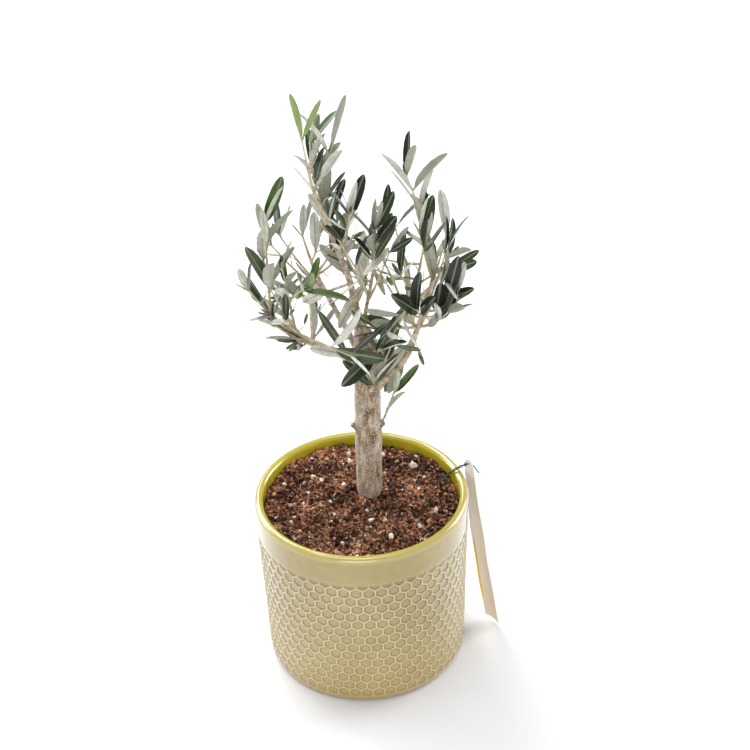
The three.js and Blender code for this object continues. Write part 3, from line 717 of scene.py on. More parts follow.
# %% The limbs, in millimetres and degrees
TWIG_COLUMNS = ("seed", "at", "tip", "bow", "pairs", "roll", "opened", "size", "lean")
LIMBS = {
    "leader": dict(
        points=[(5, 11, 222), (4, 11, 236), (-1, 13, 274), (-10, 12, 305), (-20.5, 9, 342), (-25, 5, 375)],
        bare=0.38, bough=(5.0, 2.1), stem=(2.1, 0.5), seed=188, pairs=1, roll=95,
        opened=(6, 29), size=1.15, lean=(0.3, 0),
        twigs=[
            (491, 0.62, (-17, 21, 341), -3, 3, 20, (36, 44), 0.95, (-0.25, 0.45)),
            (431, 0.8, (-10, 17, 359), -4, 4, 70, (33, 40), 1.15, (-0.4, 0.25)),
            (141, 0.55, (1, -8, 332), -3, 4, 115, (10, 6), 0.75, (-0.4, 0.05)),
            (202, 0.85, (-21, 23, 363), -2, 3, 35, (10, 36), 0.8, (0.5, 0.4)),
            (662, 0.5, (-19, 18, 340), -2, 3, 165, (6, 18), 0.95, (0.35, 0.35)),
            (291, 0.75, (6, -3, 287), -1, 1, 140, (71, 45), 1.1, (-0.25, 0.05)),
            (458, 0.4, (-41, 3, 271), -2, 3, 30, (6, 14), 1.05, (0.55, 0.4)),
        ]),
    "left": dict(
        points=[(7, 10, 206), (-7, -1, 230), (-22, -8, 243), (-38, -14, 259), (-49, -18, 272)],
        bare=0.42, bough=(2.9, 1.8), stem=(1.8, 0.8), seed=791, pairs=1, roll=175,
        opened=(46, 75), size=0.8, lean=(0.15, 0.3),
        twigs=[
            (484, 1, (-49, -16, 332), 0, 2, 175, (26, 26), 1.05, (0.6, 0.6)),
            (602, 0.65, (-47, -28, 295), -1, 1, 140, (29, 53), 1.05, (0.0, 0.5)),
            (469, 0.75, (-60, -26, 294), -2, 3, 40, (18, 49), 0.75, (0.2, 0.4)),
            (5, 0.4, (-46, -21, 266), -2, 1, 25, (20, 57), 0.75, (0.15, 0.05)),
            (281, 0.85, (-29, -31, 296), 5, 1, 60, (63, 53), 0.95, (0.4, 0.15)),
            (1, 0.7, (-40, -20, 304), 2, 3, 55, (6, 65), 0.75, (0.35, 0.55)),
            (927, 0.7, (-53, 16, 290), -3, 4, 0, (43, 62), 0.95, (0.5, 0.6)),
            (421, 0.65, (-40, -25, 271), 0, 1, 45, (37, 75), 0.75, (0.1, 0.55)),
            (856, 0.63, (-34, -17, 252), 0, 4, 25, (17, 29), 0.75, (0.1, 0.3)),
            (504, 0.55, (-23, 3, 257), -2, 3, 155, (41, 10), 0.9, (0.2, 0.15)),
            (74, 0.7, (-3, -28, 248), 0, 2, 155, (67, 68), 1.15, (0.45, 0.55)),
            (9, 0.55, (-25, -29, 292), -2, 1, 10, (22, 45), 0.9, (0.55, 0.2)),
            (118, 0.4, (-31, -11, 248), -1, 1, 0, (31, 16), 1.1, (-0.3, 0.3)),
            (287, 0.6, (-31, -15, 248), -1, 3, 40, (10, 60), 0.75, (0.35, 0.05)),
        ]),
    "right": dict(
        points=[(8, 9, 194), (19, 5, 209), (32, 4, 226), (41, 8, 248), (48, 12, 270), (52, 15, 287)],
        bare=0.5, bough=(3.2, 2.1), stem=(2.1, 0.9), seed=125, pairs=3, roll=100,
        opened=(33, 18), size=0.9, lean=(-0.45, 0.1),
        twigs=[
            (174, 1, (35, 11, 346), 3, 2, 0, (22, 51), 1.15, (0.45, 0.2)),
            (238, 0.85, (42, 8, 309), -2, 2, 70, (6, 14), 0.95, (0.4, 0.5)),
            (253, 0.8, (58, 21, 299), -2, 1, 80, (18, 14), 1.05, (0.1, 0.55)),
            (426, 0.52, (57, 3, 285), -2, 2, 65, (39, 53), 0.8, (0.15, 0.1)),
            (120, 0.57, (63, -17, 277), -5, 4, 60, (52, 6), 0.9, (0.05, 0.4)),
            (113, 0.66, (57, -6, 268), -2, 3, 5, (6, 32), 1.15, (-0.05, 0.25)),
            (636, 0.64, (39, -12, 267), -1, 2, 5, (14, 32), 1.15, (0.1, 0.35)),
            (546, 0.8, (21, -11, 253), 2, 2, 0, (57, 33), 0.9, (0.25, 0.4)),
            (481, 0.56, (18, -3, 249), 1, 3, 80, (24, 27), 0.9, (-0.45, 0.5)),
            (919, 0.55, (15, 32, 293), -2, 2, 90, (22, 72), 0.85, (-0.1, 0.35)),
            (143, 0.7, (30, 7, 281), -2, 1, 60, (25, 28), 0.85, (0.15, 0.3)),
            (637, 0.6, (30, 7, 222), 0, 2, 135, (6, 6), 1.15, (-0.2, 0.1)),
            (330, 0.51, (57, 8, 295), -3, 1, 95, (6, 75), 1.05, (-0.1, 0.25)),
            (331, 0.85, (43, 23, 318), -2, 2, 105, (45, 10), 1.0, (0.0, 0.6)),
            (747, 0.55, (14, 14, 288), -2, 1, 90, (35, 75), 0.85, (0.1, 0.35)),
        ]),
    "middle": dict(
        points=[(9, 14, 222), (7, 18, 244), (11, 21, 265), (15, 24, 284), (20, 28, 301)],
        bare=0.48, bough=(1.8, 1.2), stem=(1.2, 0.6), seed=545, pairs=3, roll=170,
        opened=(6, 6), size=0.9, lean=(0.0, 0.55),
        twigs=[
            (490, 0.45, (-4, 33, 284), -2, 3, 140, (24, 52), 0.85, (0.25, 0.15)),
            (936, 0.66, (21, 26, 267), -3, 3, 100, (6, 6), 0.75, (-0.1, 0.2)),
            (269, 0.56, (-1, 31, 269), -1, 3, 135, (39, 71), 1.1, (0.2, 0.1)),
            (851, 0.4, (23, -1, 302), -2, 1, 5, (6, 22), 0.8, (0.6, 0.6)),
            (535, 0.75, (15, 9, 312), -2, 4, 30, (6, 6), 1.0, (0.3, 0.35)),
        ]),
    "back_left": dict(
        points=[(6, 13, 212), (-3, 26, 228), (-14, 38, 246), (-24, 47, 266), (-30, 52, 286)],
        bare=0.5, bough=(2.6, 1.7), stem=(1.7, 0.6), seed=288, pairs=1, roll=15,
        opened=(37, 18), size=1.05, lean=(0.4, 0.4),
        twigs=[
            (928, 0.55, (-49, 42, 286), -3, 1, 5, (6, 71), 1.05, (0.35, 0.1)),
            (173, 0.71, (-3, 60, 290), -3, 2, 5, (6, 25), 1.0, (-0.1, 0.1)),
            (629, 0.6, (-44, 52, 287), -3, 1, 145, (59, 67), 1.1, (0.3, 0.6)),
            (192, 0.7, (-5, 61, 270), -2, 2, 95, (64, 21), 0.95, (-0.05, 0.45)),
            (945, 0.8, (-19, 65, 281), -2, 3, 170, (36, 67), 0.85, (0.15, 0.45)),
        ]),
    "back_right": dict(
        points=[(9, 13, 204), (20, 24, 220), (31, 38, 236), (41, 48, 256), (46, 54, 276)],
        bare=0.5, bough=(2.6, 1.7), stem=(1.7, 0.6), seed=684, pairs=1, roll=10,
        opened=(36, 15), size=1.1, lean=(0.05, 0.25),
        twigs=[
            (152, 0.5, (56, 39, 234), -3, 3, 65, (54, 43), 0.8, (-0.25, 0.6)),
            (263, 0.85, (5, 64, 269), -3, 1, 160, (6, 6), 1.1, (-0.3, 0)),
            (756, 0.7, (60, 42, 272), -3, 2, 155, (59, 75), 1.0, (0.3, 0.6)),
            (414, 0.4, (34, 47, 242), -2, 1, 125, (6, 24), 1.1, (-0.1, 0.6)),
            (883, 0.65, (28, 45, 294), -2, 1, 60, (58, 6), 1.05, (0.3, 0.45)),
        ]),
    "fork": dict(
        points=[(8, 9, 222), (9, 0, 230), (13, -9, 236), (15, -14, 242)],
        stem=(1.6, 0.6), seed=550, pairs=2, roll=95,
        opened=(52, 48), size=1.15, lean=(-0.25, 0.25),
        twigs=[
            (110, 0.55, (-4, -8, 235), -1, 1, 35, (26, 6), 1.1, (0.15, 0.35)),
        ]),
    "collar": dict(
        points=[(8, 9, 200), (9, 0, 203), (9.5, -5, 207), (10, -9, 212)],
        stem=(1.5, 0.6), seed=76, pairs=1, roll=85,
        opened=(52, 75), size=1.1, lean=(-0.1, 0.6),
        twigs=[
            (480, 0.7, (23, 2, 236), -1, 4, 130, (75, 29), 0.85, (-0.3, 0.25)),
        ]),
    "sprout": dict(
        points=[(8, 11, 167), (15, 8.5, 173), (19, 6, 184), (23, 4, 197)],
        stem=(1.2, 0.55), seed=818, pairs=2, roll=55,
        opened=(24, 10), size=1.0, lean=(0.25, 0.4),
        twigs=[]),
}
for limb in LIMBS.values():
    limb["twigs"] = [dict(zip(TWIG_COLUMNS, row)) for row in limb["twigs"]]
print(sum(1 + len(limb["twigs"]) for limb in LIMBS.values()), "shoots in", len(LIMBS), "sprays")

# %% [markdown]
# A leaf needs a place, a direction and a side that faces up. Its place is a node on the shoot's curve. Its
# direction leaves the shoot at the opening angle, and two directions square to the curve tell which way it
# points round the shoot. A few numbers between 0 and 1 give it its own small differences. They come from
# the row's seed alone, so the tree grows the same each time.

# %% The rule of growth
PRIME, FACTOR = 2147483647, 16807  # of the usual rule for a run of seeded numbers
NUMBERS_DROPPED = 4


def unit(v):
    return v / np.linalg.norm(v)


def mix(first, second, share):
    return first + (second - first) * share


def seeded(seed):
    """A run of numbers between 0 and 1 that the seed alone decides."""
    state, count = seed, 0
    while True:
        state = state * FACTOR % PRIME
        count += 1
        if count > NUMBERS_DROPPED:
            yield state / PRIME


# %% Curves, nodes and directions
NODE_SPACING = 12.5
TOWARDS_FRONT = np.array([0.0, -1.0, 0.0])
UP = np.array([0.0, 0.0, 1.0])


def limb_curve(points):
    """A smooth curve through points, as a function of the share of its run."""
    p = [np.array(point, dtype=float) for point in points]
    p = [2 * p[0] - p[1], *p, 2 * p[-1] - p[-2]]
    spans = len(p) - 3

    def at(share):
        run = min(max(share, 0), 1) * spans
        i = min(int(run), spans - 1)
        w = run - i
        start, end = 0.5 * (p[i + 2] - p[i]), 0.5 * (p[i + 3] - p[i + 1])
        a, b = p[i + 1], p[i + 2]
        return a + start * w + (3 * (b - a) - 2 * start - end) * w**2 + (2 * (a - b) + start + end) * w**3
    return at


def twig_curve(root, tip, bow):
    """A side twig from its root to its tip, with its middle lifted."""
    tip = np.array(tip, dtype=float)
    middle = (root + tip) / 2 + 2 * bow * UP
    return lambda t: (1 - t) ** 2 * root + 2 * (1 - t) * t * middle + t * t * tip


def nodes_of(curve, pairs, below=0):
    """Where on a curve its leaf pairs stand, from the tip down, as shares of its run."""
    chord = np.linalg.norm(curve(0) - curve(1))
    return [1 - (pair + below) * NODE_SPACING / chord for pair in range(pairs)]


def frame_at(curve, t):
    """The way that a curve heads, and two directions square to it, the first one towards the front."""
    tangent = unit(curve(min(1, t + 0.01)) - curve(max(0, t - 0.01)))
    along = UP if abs(tangent @ TOWARDS_FRONT) > 0.94 else TOWARDS_FRONT
    first = unit(along - tangent * (along @ tangent))
    return tangent, first, np.cross(first, tangent)


def turned_about(v, axis, angle):
    """A direction turned about another one by an angle in radians."""
    cosine, sine = math.cos(angle), math.sin(angle)
    return v * cosine + np.cross(axis, v) * sine + axis * (axis @ v) * (1 - cosine)


def tilted(tangent, outward, degrees):
    """A direction that leaves a twig at an angle."""
    angle = math.radians(degrees)
    return tangent * math.cos(angle) + outward * math.sin(angle)


def squared(top, direction):
    """A direction made square to another one."""
    return unit(top - direction * (top @ direction))


# %% The leaves of one shoot
LEAF_LENGTH = 29
LONG_LEAF, WIDE_LEAF = (0.84, 1.16), (0.86, 1.08)
NODES_TO_OPEN = 2
TURN_SPREAD, OPENING_SPREAD, TWIST_SPREAD, SCREW_SPREAD = 36, 10, 80, 60  # degrees
SWERVE_SPREAD = 0.1
YOUNG_GIRTH = 0.86
LOST_LEAF_SHARE = 0.03


def leaves_on(curve, row):
    """The leaves of one shoot, in crossed pairs from its tip down."""
    numbers = seeded(row["seed"])
    lean = np.array((row["lean"][0], 0, row["lean"][1]))
    grown = []
    for pair, t in enumerate(nodes_of(curve, row["pairs"])):
        tangent, first, second = frame_at(curve, max(t, 0))
        for side in (0, 1):
            lost, turn, wide, long, twist, bend = (next(numbers) for _ in range(6))
            angle = math.radians(row["roll"] + 90 * pair + 180 * side + TURN_SPREAD * (turn - 0.5))
            opening = mix(*row["opened"], min(1, pair / NODES_TO_OPEN)) + OPENING_SPREAD * (2 * wide - 1)
            outward = first * math.cos(angle) + second * math.sin(angle)
            direction = unit(tilted(tangent, outward, opening) + lean)
            twisted = math.radians(TWIST_SPREAD * (twist - 0.5))
            top = turned_about(squared(tangent - 0.2 * outward, direction), direction, twisted)
            if lost >= LOST_LEAF_SHARE and t > 0:
                grown.append({"root": curve(t), "direction": direction, "top": top, "pair": pair,
                              "length": LEAF_LENGTH * row["size"] * mix(*LONG_LEAF, long), "tone": twist,
                              "bend": 2 * bend - 0.5, "fold": 0.9 * lost - 0.15,
                              "swerve": SWERVE_SPREAD * (turn - 0.5),
                              "screw": SCREW_SPREAD * (wide - 0.5),
                              "girth": mix(*WIDE_LEAF, turn) * (1 if pair else YOUNG_GIRTH)})
    return grown


sprout = leaves_on(limb_curve(LIMBS["sprout"]["points"]), LIMBS["sprout"])
print("the sprout's leaves:", [round(float(leaf["length"]), 1) for leaf in sprout], "mm long")
# %% [markdown]
# ## Trunk and boughs
# The trunk is short and thick for its height, with six boughs that grow out of its top through soft
# collars. Tubes that only pass through each other would show a hard line at each fork, so the trunk is
# drawn up ring by ring, the boughs are tubes along their limbs, and a voxel remesh makes one skin of them
# all. A few rounds of smoothing turn the forks into collars, and noise along the skin's own normals gives
# the bark its shallow, upright ridges.

# %% The trunk, ring by ring
TRUNK_TOP = (7, 11, 236)
TRUNK_START = (6.2, 112.5)  # radius and height, as in the rings
FOOT_SWELL = [(6.8, 114.2), (7.4, 115.6), (8.0, 118), (8.4, 122)]
TRUNK_RADII = (8.4, 8.5, 8.5, 8.8, 8.7, 8.4, 8.0, 8.2, 8.4, 7.2)
TOP_RINGS = [(5.5, 238.2), (2.5, 239.0)]
TRUNK_SLOPE = 0.4

let_go()
bpy.ops.mesh.primitive_circle_add(vertices=32, radius=TRUNK_START[0] * MM, fill_type="NGON",
                                  location=Vector((*TRUNK_FOOT, TRUNK_START[1])) * MM)
trunk = christen("bark")
bpy.ops.object.transform_apply(location=True)
open_mesh(trunk, "EDGE")
heights = np.linspace(SOIL_TOP + GAP, TRUNK_TOP[2], len(TRUNK_RADII))
draw_on(FOOT_SWELL + list(zip(TRUNK_RADII, heights.tolist()))[1:] + TOP_RINGS, TRUNK_START, TRUNK_FOOT)
let_go()
rows = points_of(trunk)
up = np.clip((rows[:, 2] - heights[0]) / (heights[-1] - heights[0]), 0, 1)
rows[:, 0] += up * (TRUNK_TOP[0] - TRUNK_FOOT[0])
rows[:, 1] += up * (TRUNK_TOP[1] - TRUNK_FOOT[1])
at_top = rows[:, 2] > TRUNK_TOP[2] - 0.1
rows[at_top, 2] -= TRUNK_SLOPE * (rows[at_top, 0] - TRUNK_TOP[0] - (rows[at_top, 1] - TRUNK_TOP[1]))
move_points(trunk, rows)
print("trunk of", len(rows), "points, up to", rows[:, 2].max().round(1), "mm")

# %% [markdown]
# Each bough is a tube along the bare part of its limb, a little thicker at its old nodes. Two pruned stubs
# stand on the trunk. All of them reach well into it, so that the remesh wraps one closed skin round them.

# %% Boughs and stubs, and one skin over all
STUBS = (((1, 10.5, 167), (-4.6, 9.6, 171)), ((9, 10.5, 164), (16.4, 8.6, 172)))
STUB_RADII = (4, 1.9)
KNOT_SWELL = 0.2
VOXEL = 0.55


def run_of(path):
    """How long a path of points is."""
    return sum(np.linalg.norm(b - a) for a, b in zip(path, path[1:]))


boughs = []
for limb in LIMBS.values():
    if "bare" in limb:
        curve = limb_curve(limb["points"])
        shares = np.linspace(0, 1, 40)
        path = [curve(share * limb["bare"]) for share in shares]
        waves = np.cos(shares * run_of(path) / NODE_SPACING * 2 * math.pi)
        knots = 1 + KNOT_SWELL * waves.clip(0) ** 6
        boughs.append(tube(path, mix(*limb["bough"], shares) * knots, 12))
for foot, head in np.array(STUBS, dtype=float):
    thick, thin = STUB_RADII
    boughs.append(tube([mix(foot, head, share) for share in (0, 0.35, 0.7, 0.95, 1.05)],
                       [thick, mix(thick, thin, 0.5), thin, thin * 0.95, thin * 0.5], 12))
wood = joined("boughs", boughs)
take(wood)
trunk.select_set(True)
bpy.context.view_layer.objects.active = trunk
bpy.ops.object.join()
add_modifier(trunk, "one_skin", "REMESH", mode="VOXEL", voxel_size=VOXEL * MM)
add_modifier(trunk, "collars", "SMOOTH", factor=0.5, iterations=12)
apply_modifiers(trunk)
print("bark skin:", len(trunk.data.vertices), "points")

# %% [markdown]
# Three sizes of noise make the relief: broad swells, ridges that run up the wood, and a fine grain. All are
# weaker on the slender wood. At the front of the trunk's top lies an oval scar, as a cut limb leaves it,
# with a raised lip and a sunken middle.

# %% The relief of the bark
RELIEF = ((0.5, 7, 13, 0), (0.26, 1.8, 6.5, 9), (0.1, 0.9, 1.6, 31))  # height, width, length, start
TRUNK_REACH, SLENDER_AFTER = 9, 6
SLENDER_CALM = 0.55
SCAR = (6.0, 4.2, 237.0)
SCAR_STRETCH = (1, 0.6, 0.8)
SCAR_RADIUS = 3.4
SCAR_DEPTH = 0.7
SCAR_LIP, SCAR_LIP_WIDTH = 0.55, 0.28

rows = points_of(trunk)
normals = np.empty(rows.size)
trunk.data.vertex_normals.foreach_get("vector", normals)
from_axis = np.hypot(rows[:, 0] - TRUNK_TOP[0], rows[:, 1] - TRUNK_TOP[1])
slender = np.maximum(from_axis - TRUNK_REACH, (rows[:, 2] - TRUNK_TOP[2]) / 2) / SLENDER_AFTER
slender = np.clip(slender, 0, 1)
lift = np.array([sum(high * noise.noise((x / wide, y / wide, z / long + start))
                     for high, wide, long, start in RELIEF) for x, y, z in rows])
lift *= 1 - SLENDER_CALM * slender
to_scar = np.linalg.norm((rows - np.array(SCAR)) * SCAR_STRETCH, axis=1) / SCAR_RADIUS
scar = np.clip(1.6 - 1.6 * to_scar, 0, 1)
lift += SCAR_LIP * np.exp(-((to_scar - 1) / SCAR_LIP_WIDTH) ** 2) - SCAR_DEPTH * scar
move_points(trunk, rows + normals.reshape(-1, 3) * lift[:, None])
give(trunk, scar=scar, slender=slender)
smooth(trunk)
print("relief from", lift.min().round(2), "to", lift.max().round(2), "mm")

# %% [markdown]
# Young olive bark is smooth and grey-beige, a little greener and yellower on the thin wood. Pale specks, the
# pores through which the bark breathes, are strewn over it, and dark marks run across it here and there.

# %% The bark's finish
bark = Finish("olive_bark", Roughness=0.6, Specular_IOR_Level=0.5, Sheen_Weight=0.35, Sheen_Roughness=0.35)
upright = bark.stretched(1, 1, 0.3)
grain = bark.ramp(bark.clouds(3.4, 5, 0.65, upright), (0.38, 74, 54, 38), (0.5, 138, 116, 92),
                  (0.62, 214, 200, 184))
stains = bark.ramp(bark.clouds(14, 3), (0.42, 134, 104, 62), (0.58, 208, 192, 182))
thin_wood = bark.ramp(bark.clouds(5, 4, 0.6), (0.36, 128, 104, 82), (0.5, 170, 148, 122),
                      (0.64, 208, 190, 164))
specks = bark.ramp(bark.spots(1.5, bark.stretched(1, 1, 1.5)), (0.2, 1), (0.34, 0))
cracks = bark.ramp(bark.clouds(2.2, 3, 0.6, bark.stretched(0.45, 0.45, 1.6)), (0.3, 0.75), (0.4, 0))
rust = bark.ramp(bark.number("scar"), (0.1, 0), (0.6, 1))
colour = bark.mixed(0.4, grain, stains)
for share, over in ((bark.number("slender"), thin_wood), (specks, (236, 222, 180)),
                    (cracks, (108, 92, 74)), (rust, (132, 96, 66))):
    colour = bark.mixed(share, colour, over)
bark.colour(colour)
bark.bump(bark.sums("ADD", bark.clouds(1.6, 4, where=upright), bark.sums("MULTIPLY", specks, 0.4)), 0.4)
finish_piece(trunk, [bark], "bark", "trunk", *[f"{name}_bough" for name in LIMBS if "bare" in LIMBS[name]])

# %% [markdown]
# ## One olive leaf
# An olive leaf is leathery, about 30 mm long and 8 mm wide, with almost parallel sides, a blunt tip and a
# short stalk. It is dark and glossy above, with a sunken midrib, and silvery below, where the midrib stands
# out and the edges roll under. A flat card with a picture on it would have no edge and no thickness, so the
# leaf is a thin closed body of 72 faces: rings of eight points from stalk to tip.

# %% The leaf's shape
LEAF_RINGS = ((0.03, 0.09), (0.09, 0.14), (0.2, 0.64), (0.36, 0.95), (0.55, 1.0), (0.74, 0.92), (0.885, 0.68),
              (0.965, 0.35))
STALK_RINGS = 2
TIP_HEIGHT = -0.12
THINNING = 0.35
RING_ACROSS = np.array([1, 0.55, 0, -0.55, -1, -0.55, 0, 0.55])
BLADE_HEIGHT = np.array([-0.24, 0.08, -0.12, 0.08, -0.24, -0.28, -0.6, -0.28])
STALK_HEIGHT = np.array([0, 0.22, 0.3, 0.22, 0, -0.24, -0.34, -0.24])
FACES_ABOVE = 4
LEAF_WIDTH_SHARE = 0.132
LEAF_ARCH = 0.1
LEAF_SINK = 0.5
FULL_THICKNESS_FROM = 22


def leaf_template():
    """Rows of (share of length, share across, height) and the faces, with 0 for above and 1 for below."""
    rows = [(0.0, 0.0, 0.0)]
    for index, (at, width) in enumerate(LEAF_RINGS):
        height = STALK_HEIGHT if index < STALK_RINGS else BLADE_HEIGHT * (1 - THINNING * at)
        rows += [(at, across * width, high) for across, high in zip(RING_ACROSS, height)]
    rows.append((1.0, 0.0, TIP_HEIGHT))
    faces, sides = [], []
    ring_count, points = len(LEAF_RINGS), len(RING_ACROSS)
    for k in range(points):
        after = (k + 1) % points
        faces.append((0, 1 + after, 1 + k))
        for low in range(1, 1 + (ring_count - 1) * points, points):
            faces.append((low + k, low + after, low + points + after, low + points + k))
        last = 1 + (ring_count - 1) * points
        faces.append((last + k, last + after, len(rows) - 1))
        sides += [0 if k < FACES_ABOVE else 1] * (ring_count + 1)
    return np.array(rows), faces, sides


LEAF_POINTS, LEAF_FACES, LEAF_SIDES = leaf_template()
ALONG, ACROSS, HIGH = LEAF_POINTS.T


def leaf_rows(leaf):
    """The leaf's points, bent and set in their place, in millimetres."""
    direction, top, length = leaf["direction"], leaf["top"], leaf["length"]
    half_width = LEAF_WIDTH_SHARE * length * leaf["girth"]
    flat = ACROSS * half_width
    high = HIGH * min(1, length / FULL_THICKNESS_FROM) + half_width * leaf["fold"] * np.abs(ACROSS) ** 1.4
    screw = math.radians(leaf["screw"]) * ALONG
    wide, deep = flat * np.cos(screw) - high * np.sin(screw), flat * np.sin(screw) + high * np.cos(screw)
    sag = LEAF_ARCH * leaf["bend"] * ALONG * ALONG * length
    swerve = leaf["swerve"] * ALONG * ALONG * length
    root = leaf["root"] - LEAF_SINK * direction
    return (root + np.outer(ALONG * length, direction) + np.outer(wide + swerve, np.cross(top, direction))
            + np.outer(deep - sag, top))


print("one leaf:", len(LEAF_POINTS), "points and", len(LEAF_FACES), "faces")

# %% [markdown]
# ## The sprays
# A spray is one mass of twigs and leaves at the end of a bough. Its stem and side twigs follow the rule of
# growth. Finer twiglets are added between them, grown by the same rule from their own seeds, and each shoot
# ends in a pair of small leaves. Twigs swell a little where leaves stand, and turn from grey bark at their
# root to pale green at their tip.

# %% Shoots of one limb
TWIG_RADII = (1.05, 0.5)
TWIG_STEP = 1.7
FEWEST_STEPS = 5
NODE_SWELL, NODE_LENGTH = 0.28, 1.3
TWIGLET_RADII = (0.4, 0.22)
TWIGLET_REACH = (8, 19)
TWIGLET_BOW = (-4, 2.5)
TWIGLET_OPENED = (35, 65)
TWIGLET_RISE = 0.15
TWIGLET_SHARE = 0.34
TWIGLET_FROM = 0.12
TIP_OPENED = (8, 22)
TIP_LENGTHS = (6, 13)
TWIGLET_SEED, TIP_SEED = 9000, 5000
BUD_LENGTH = 2.6
BUD_RADII = (0.5, 0.75, 0.7, 0.45, 0.1)


def twig_tube(curve, start, radii, nodes):
    """A tube along part of a curve, thicker at its nodes, and how far along each of its points lies."""
    length = run_of([curve(mix(start, 1, i / 8)) for i in range(9)])
    shares = np.linspace(0, 1, max(FEWEST_STEPS, int(length / TWIG_STEP)) + 1)
    thick = mix(*radii, shares)
    for t in nodes:
        if t > start:
            away = (shares - (t - start) / (1 - start)) * length / NODE_LENGTH
            thick *= 1 + NODE_SWELL * np.exp(-away ** 2)
    return tube([curve(mix(start, 1, share)) for share in shares], thick, 6), np.repeat(shares, 6)


def shoots_of(name, limb):
    """The stem and twigs of a limb as (title, curve, start, radii, row)."""
    curve = limb_curve(limb["points"])
    yield name, curve, limb.get("bare", 0.0), limb["stem"], limb
    for index, twig in enumerate(limb["twigs"]):
        side_curve = twig_curve(curve(twig["at"]), twig["tip"], twig["bow"])
        yield f"{name}.{index}", side_curve, 0.0, TWIG_RADII, twig


def tip_leaves(curve, seed):
    """The pair of small leaves in which a shoot ends."""
    numbers = seeded(TIP_SEED + seed)
    tangent, first, second = frame_at(curve, 1)
    turn = 2 * math.pi * next(numbers)
    grown = []
    for angle in (turn, turn + math.pi):
        outward = first * math.cos(angle) + second * math.sin(angle)
        direction = unit(tilted(tangent, outward, mix(*TIP_OPENED, next(numbers))))
        grown.append({"root": curve(1), "direction": direction, "top": squared(-outward, direction),
                      "length": mix(*TIP_LENGTHS, next(numbers)), "pair": -1, "tone": next(numbers),
                      "bend": 0.4, "fold": 0, "swerve": 0, "screw": 0, "girth": 0.8})
    return grown


def twiglets_on(curve, start, seed, pairs):
    """Fine twiglets between the nodes of a shoot, as curves."""
    numbers = seeded(TWIGLET_SEED + seed)
    for t in nodes_of(curve, pairs + 2, 1.5):
        wanted, turn, opening, reach, sag = (next(numbers) for _ in range(5))
        if wanted <= TWIGLET_SHARE and t >= max(start, TWIGLET_FROM):
            tangent, first, second = frame_at(curve, t)
            angle, root = 2 * math.pi * turn, curve(t)
            outward = first * math.cos(angle) + second * math.sin(angle)
            direction = unit(tilted(tangent, outward, mix(*TWIGLET_OPENED, opening)) + TWIGLET_RISE * UP)
            yield twig_curve(root, root + mix(*TWIGLET_REACH, reach) * direction, mix(*TWIGLET_BOW, sag))


def bud(leaf):
    """The small bud that sits between a leaf and its twig."""
    outward = unit(leaf["direction"] + leaf["top"])
    return tube([leaf["root"] + step * outward for step in np.linspace(0, BUD_LENGTH, 5)], BUD_RADII, 6)


# %% All sprays
TIP_GIRTHS = {"leader": 0.8, "sprout": 0.8}

sprays, shoot_bodies = {}, []
for name, limb in LIMBS.items():
    tubes, youth, leaves = [], [], []
    for title, curve, start, radii, row in shoots_of(name, limb):
        seed, pairs = row["seed"], row["pairs"]
        part, shares = twig_tube(curve, start, radii, nodes_of(curve, pairs))
        tubes.append(part)
        youth.append(shares ** 2 if title == name else 0.35 + 0.65 * shares)
        shoot_bodies.append((title, BVHTree.FromPolygons(*part)))
        grown = leaves_on(curve, row)
        tubes += [bud(leaf) for leaf in grown]
        youth += [0.8] * len(grown)
        grown += tip_leaves(curve, seed)
        for index, twiglet in enumerate(twiglets_on(curve, start, seed, pairs)):
            part, shares = twig_tube(twiglet, 0.0, TWIGLET_RADII, [0.55])
            tubes.append(part)
            youth.append(0.2 + 0.5 * shares)
            if (seed + index) % 2:
                grown += tip_leaves(twiglet, seed + 100 * (index + 1))
        for leaf in grown:
            leaf["shoot"] = title
            if leaf["pair"] == 0:
                leaf["girth"] *= TIP_GIRTHS.get(title, 1)
        leaves += grown
    sprays[name] = (tubes, youth, leaves)
print({name: (len(tubes), len(leaves)) for name, (tubes, youth, leaves) in sprays.items()})

# %% [markdown]
# ## Room for each leaf
# Leaves push each other aside as they grow, and none grows through another, through a twig or through the
# bark. So each blade is tried as a body of its own against the bark, the other shoots and the leaves before
# it. One that would pass through them takes the smallest swing that sets it free. A tip leaf that finds no
# room is left out.

# %% Leaves that make way
TURNS = (-15, -10, -5, 0, 5, 10, 15)
SWINGS = sorted(((side, lift) for side in TURNS for lift in TURNS),
                key=lambda swing: abs(swing[0]) + abs(swing[1]))
BLADE_FROM = 0.18
NEIGHBOURS_WITHIN = 66
BLADE = [face for face in LEAF_FACES if ALONG[list(face)].min() > BLADE_FROM]
bark_body = BVHTree.FromPolygons(points_of(trunk).tolist(),
                                 [face.vertices[:] for face in trunk.data.polygons])


def swung(leaf, side, lift):
    """A leaf turned by some degrees sideways and then up or down."""
    direction = turned_about(leaf["direction"], leaf["top"], math.radians(side))
    sideways = np.cross(leaf["top"], direction)
    return leaf | {key: turned_about(way, sideways, math.radians(lift))
                   for key, way in (("direction", direction), ("top", leaf["top"]))}


def freed(leaf, others):
    """The leaf at its smallest free swing, or at its best one: crossings, swings tried, leaf and body."""
    tried = []
    for swing in SWINGS:
        way = swung(leaf, *swing)
        body = BVHTree.FromPolygons(leaf_rows(way).tolist(), BLADE)
        tried.append((sum(len(body.overlap(other)) for other in others), len(tried), way, body))
        if tried[-1][0] == 0:
            break
    return min(tried, key=lambda one: one[:2])


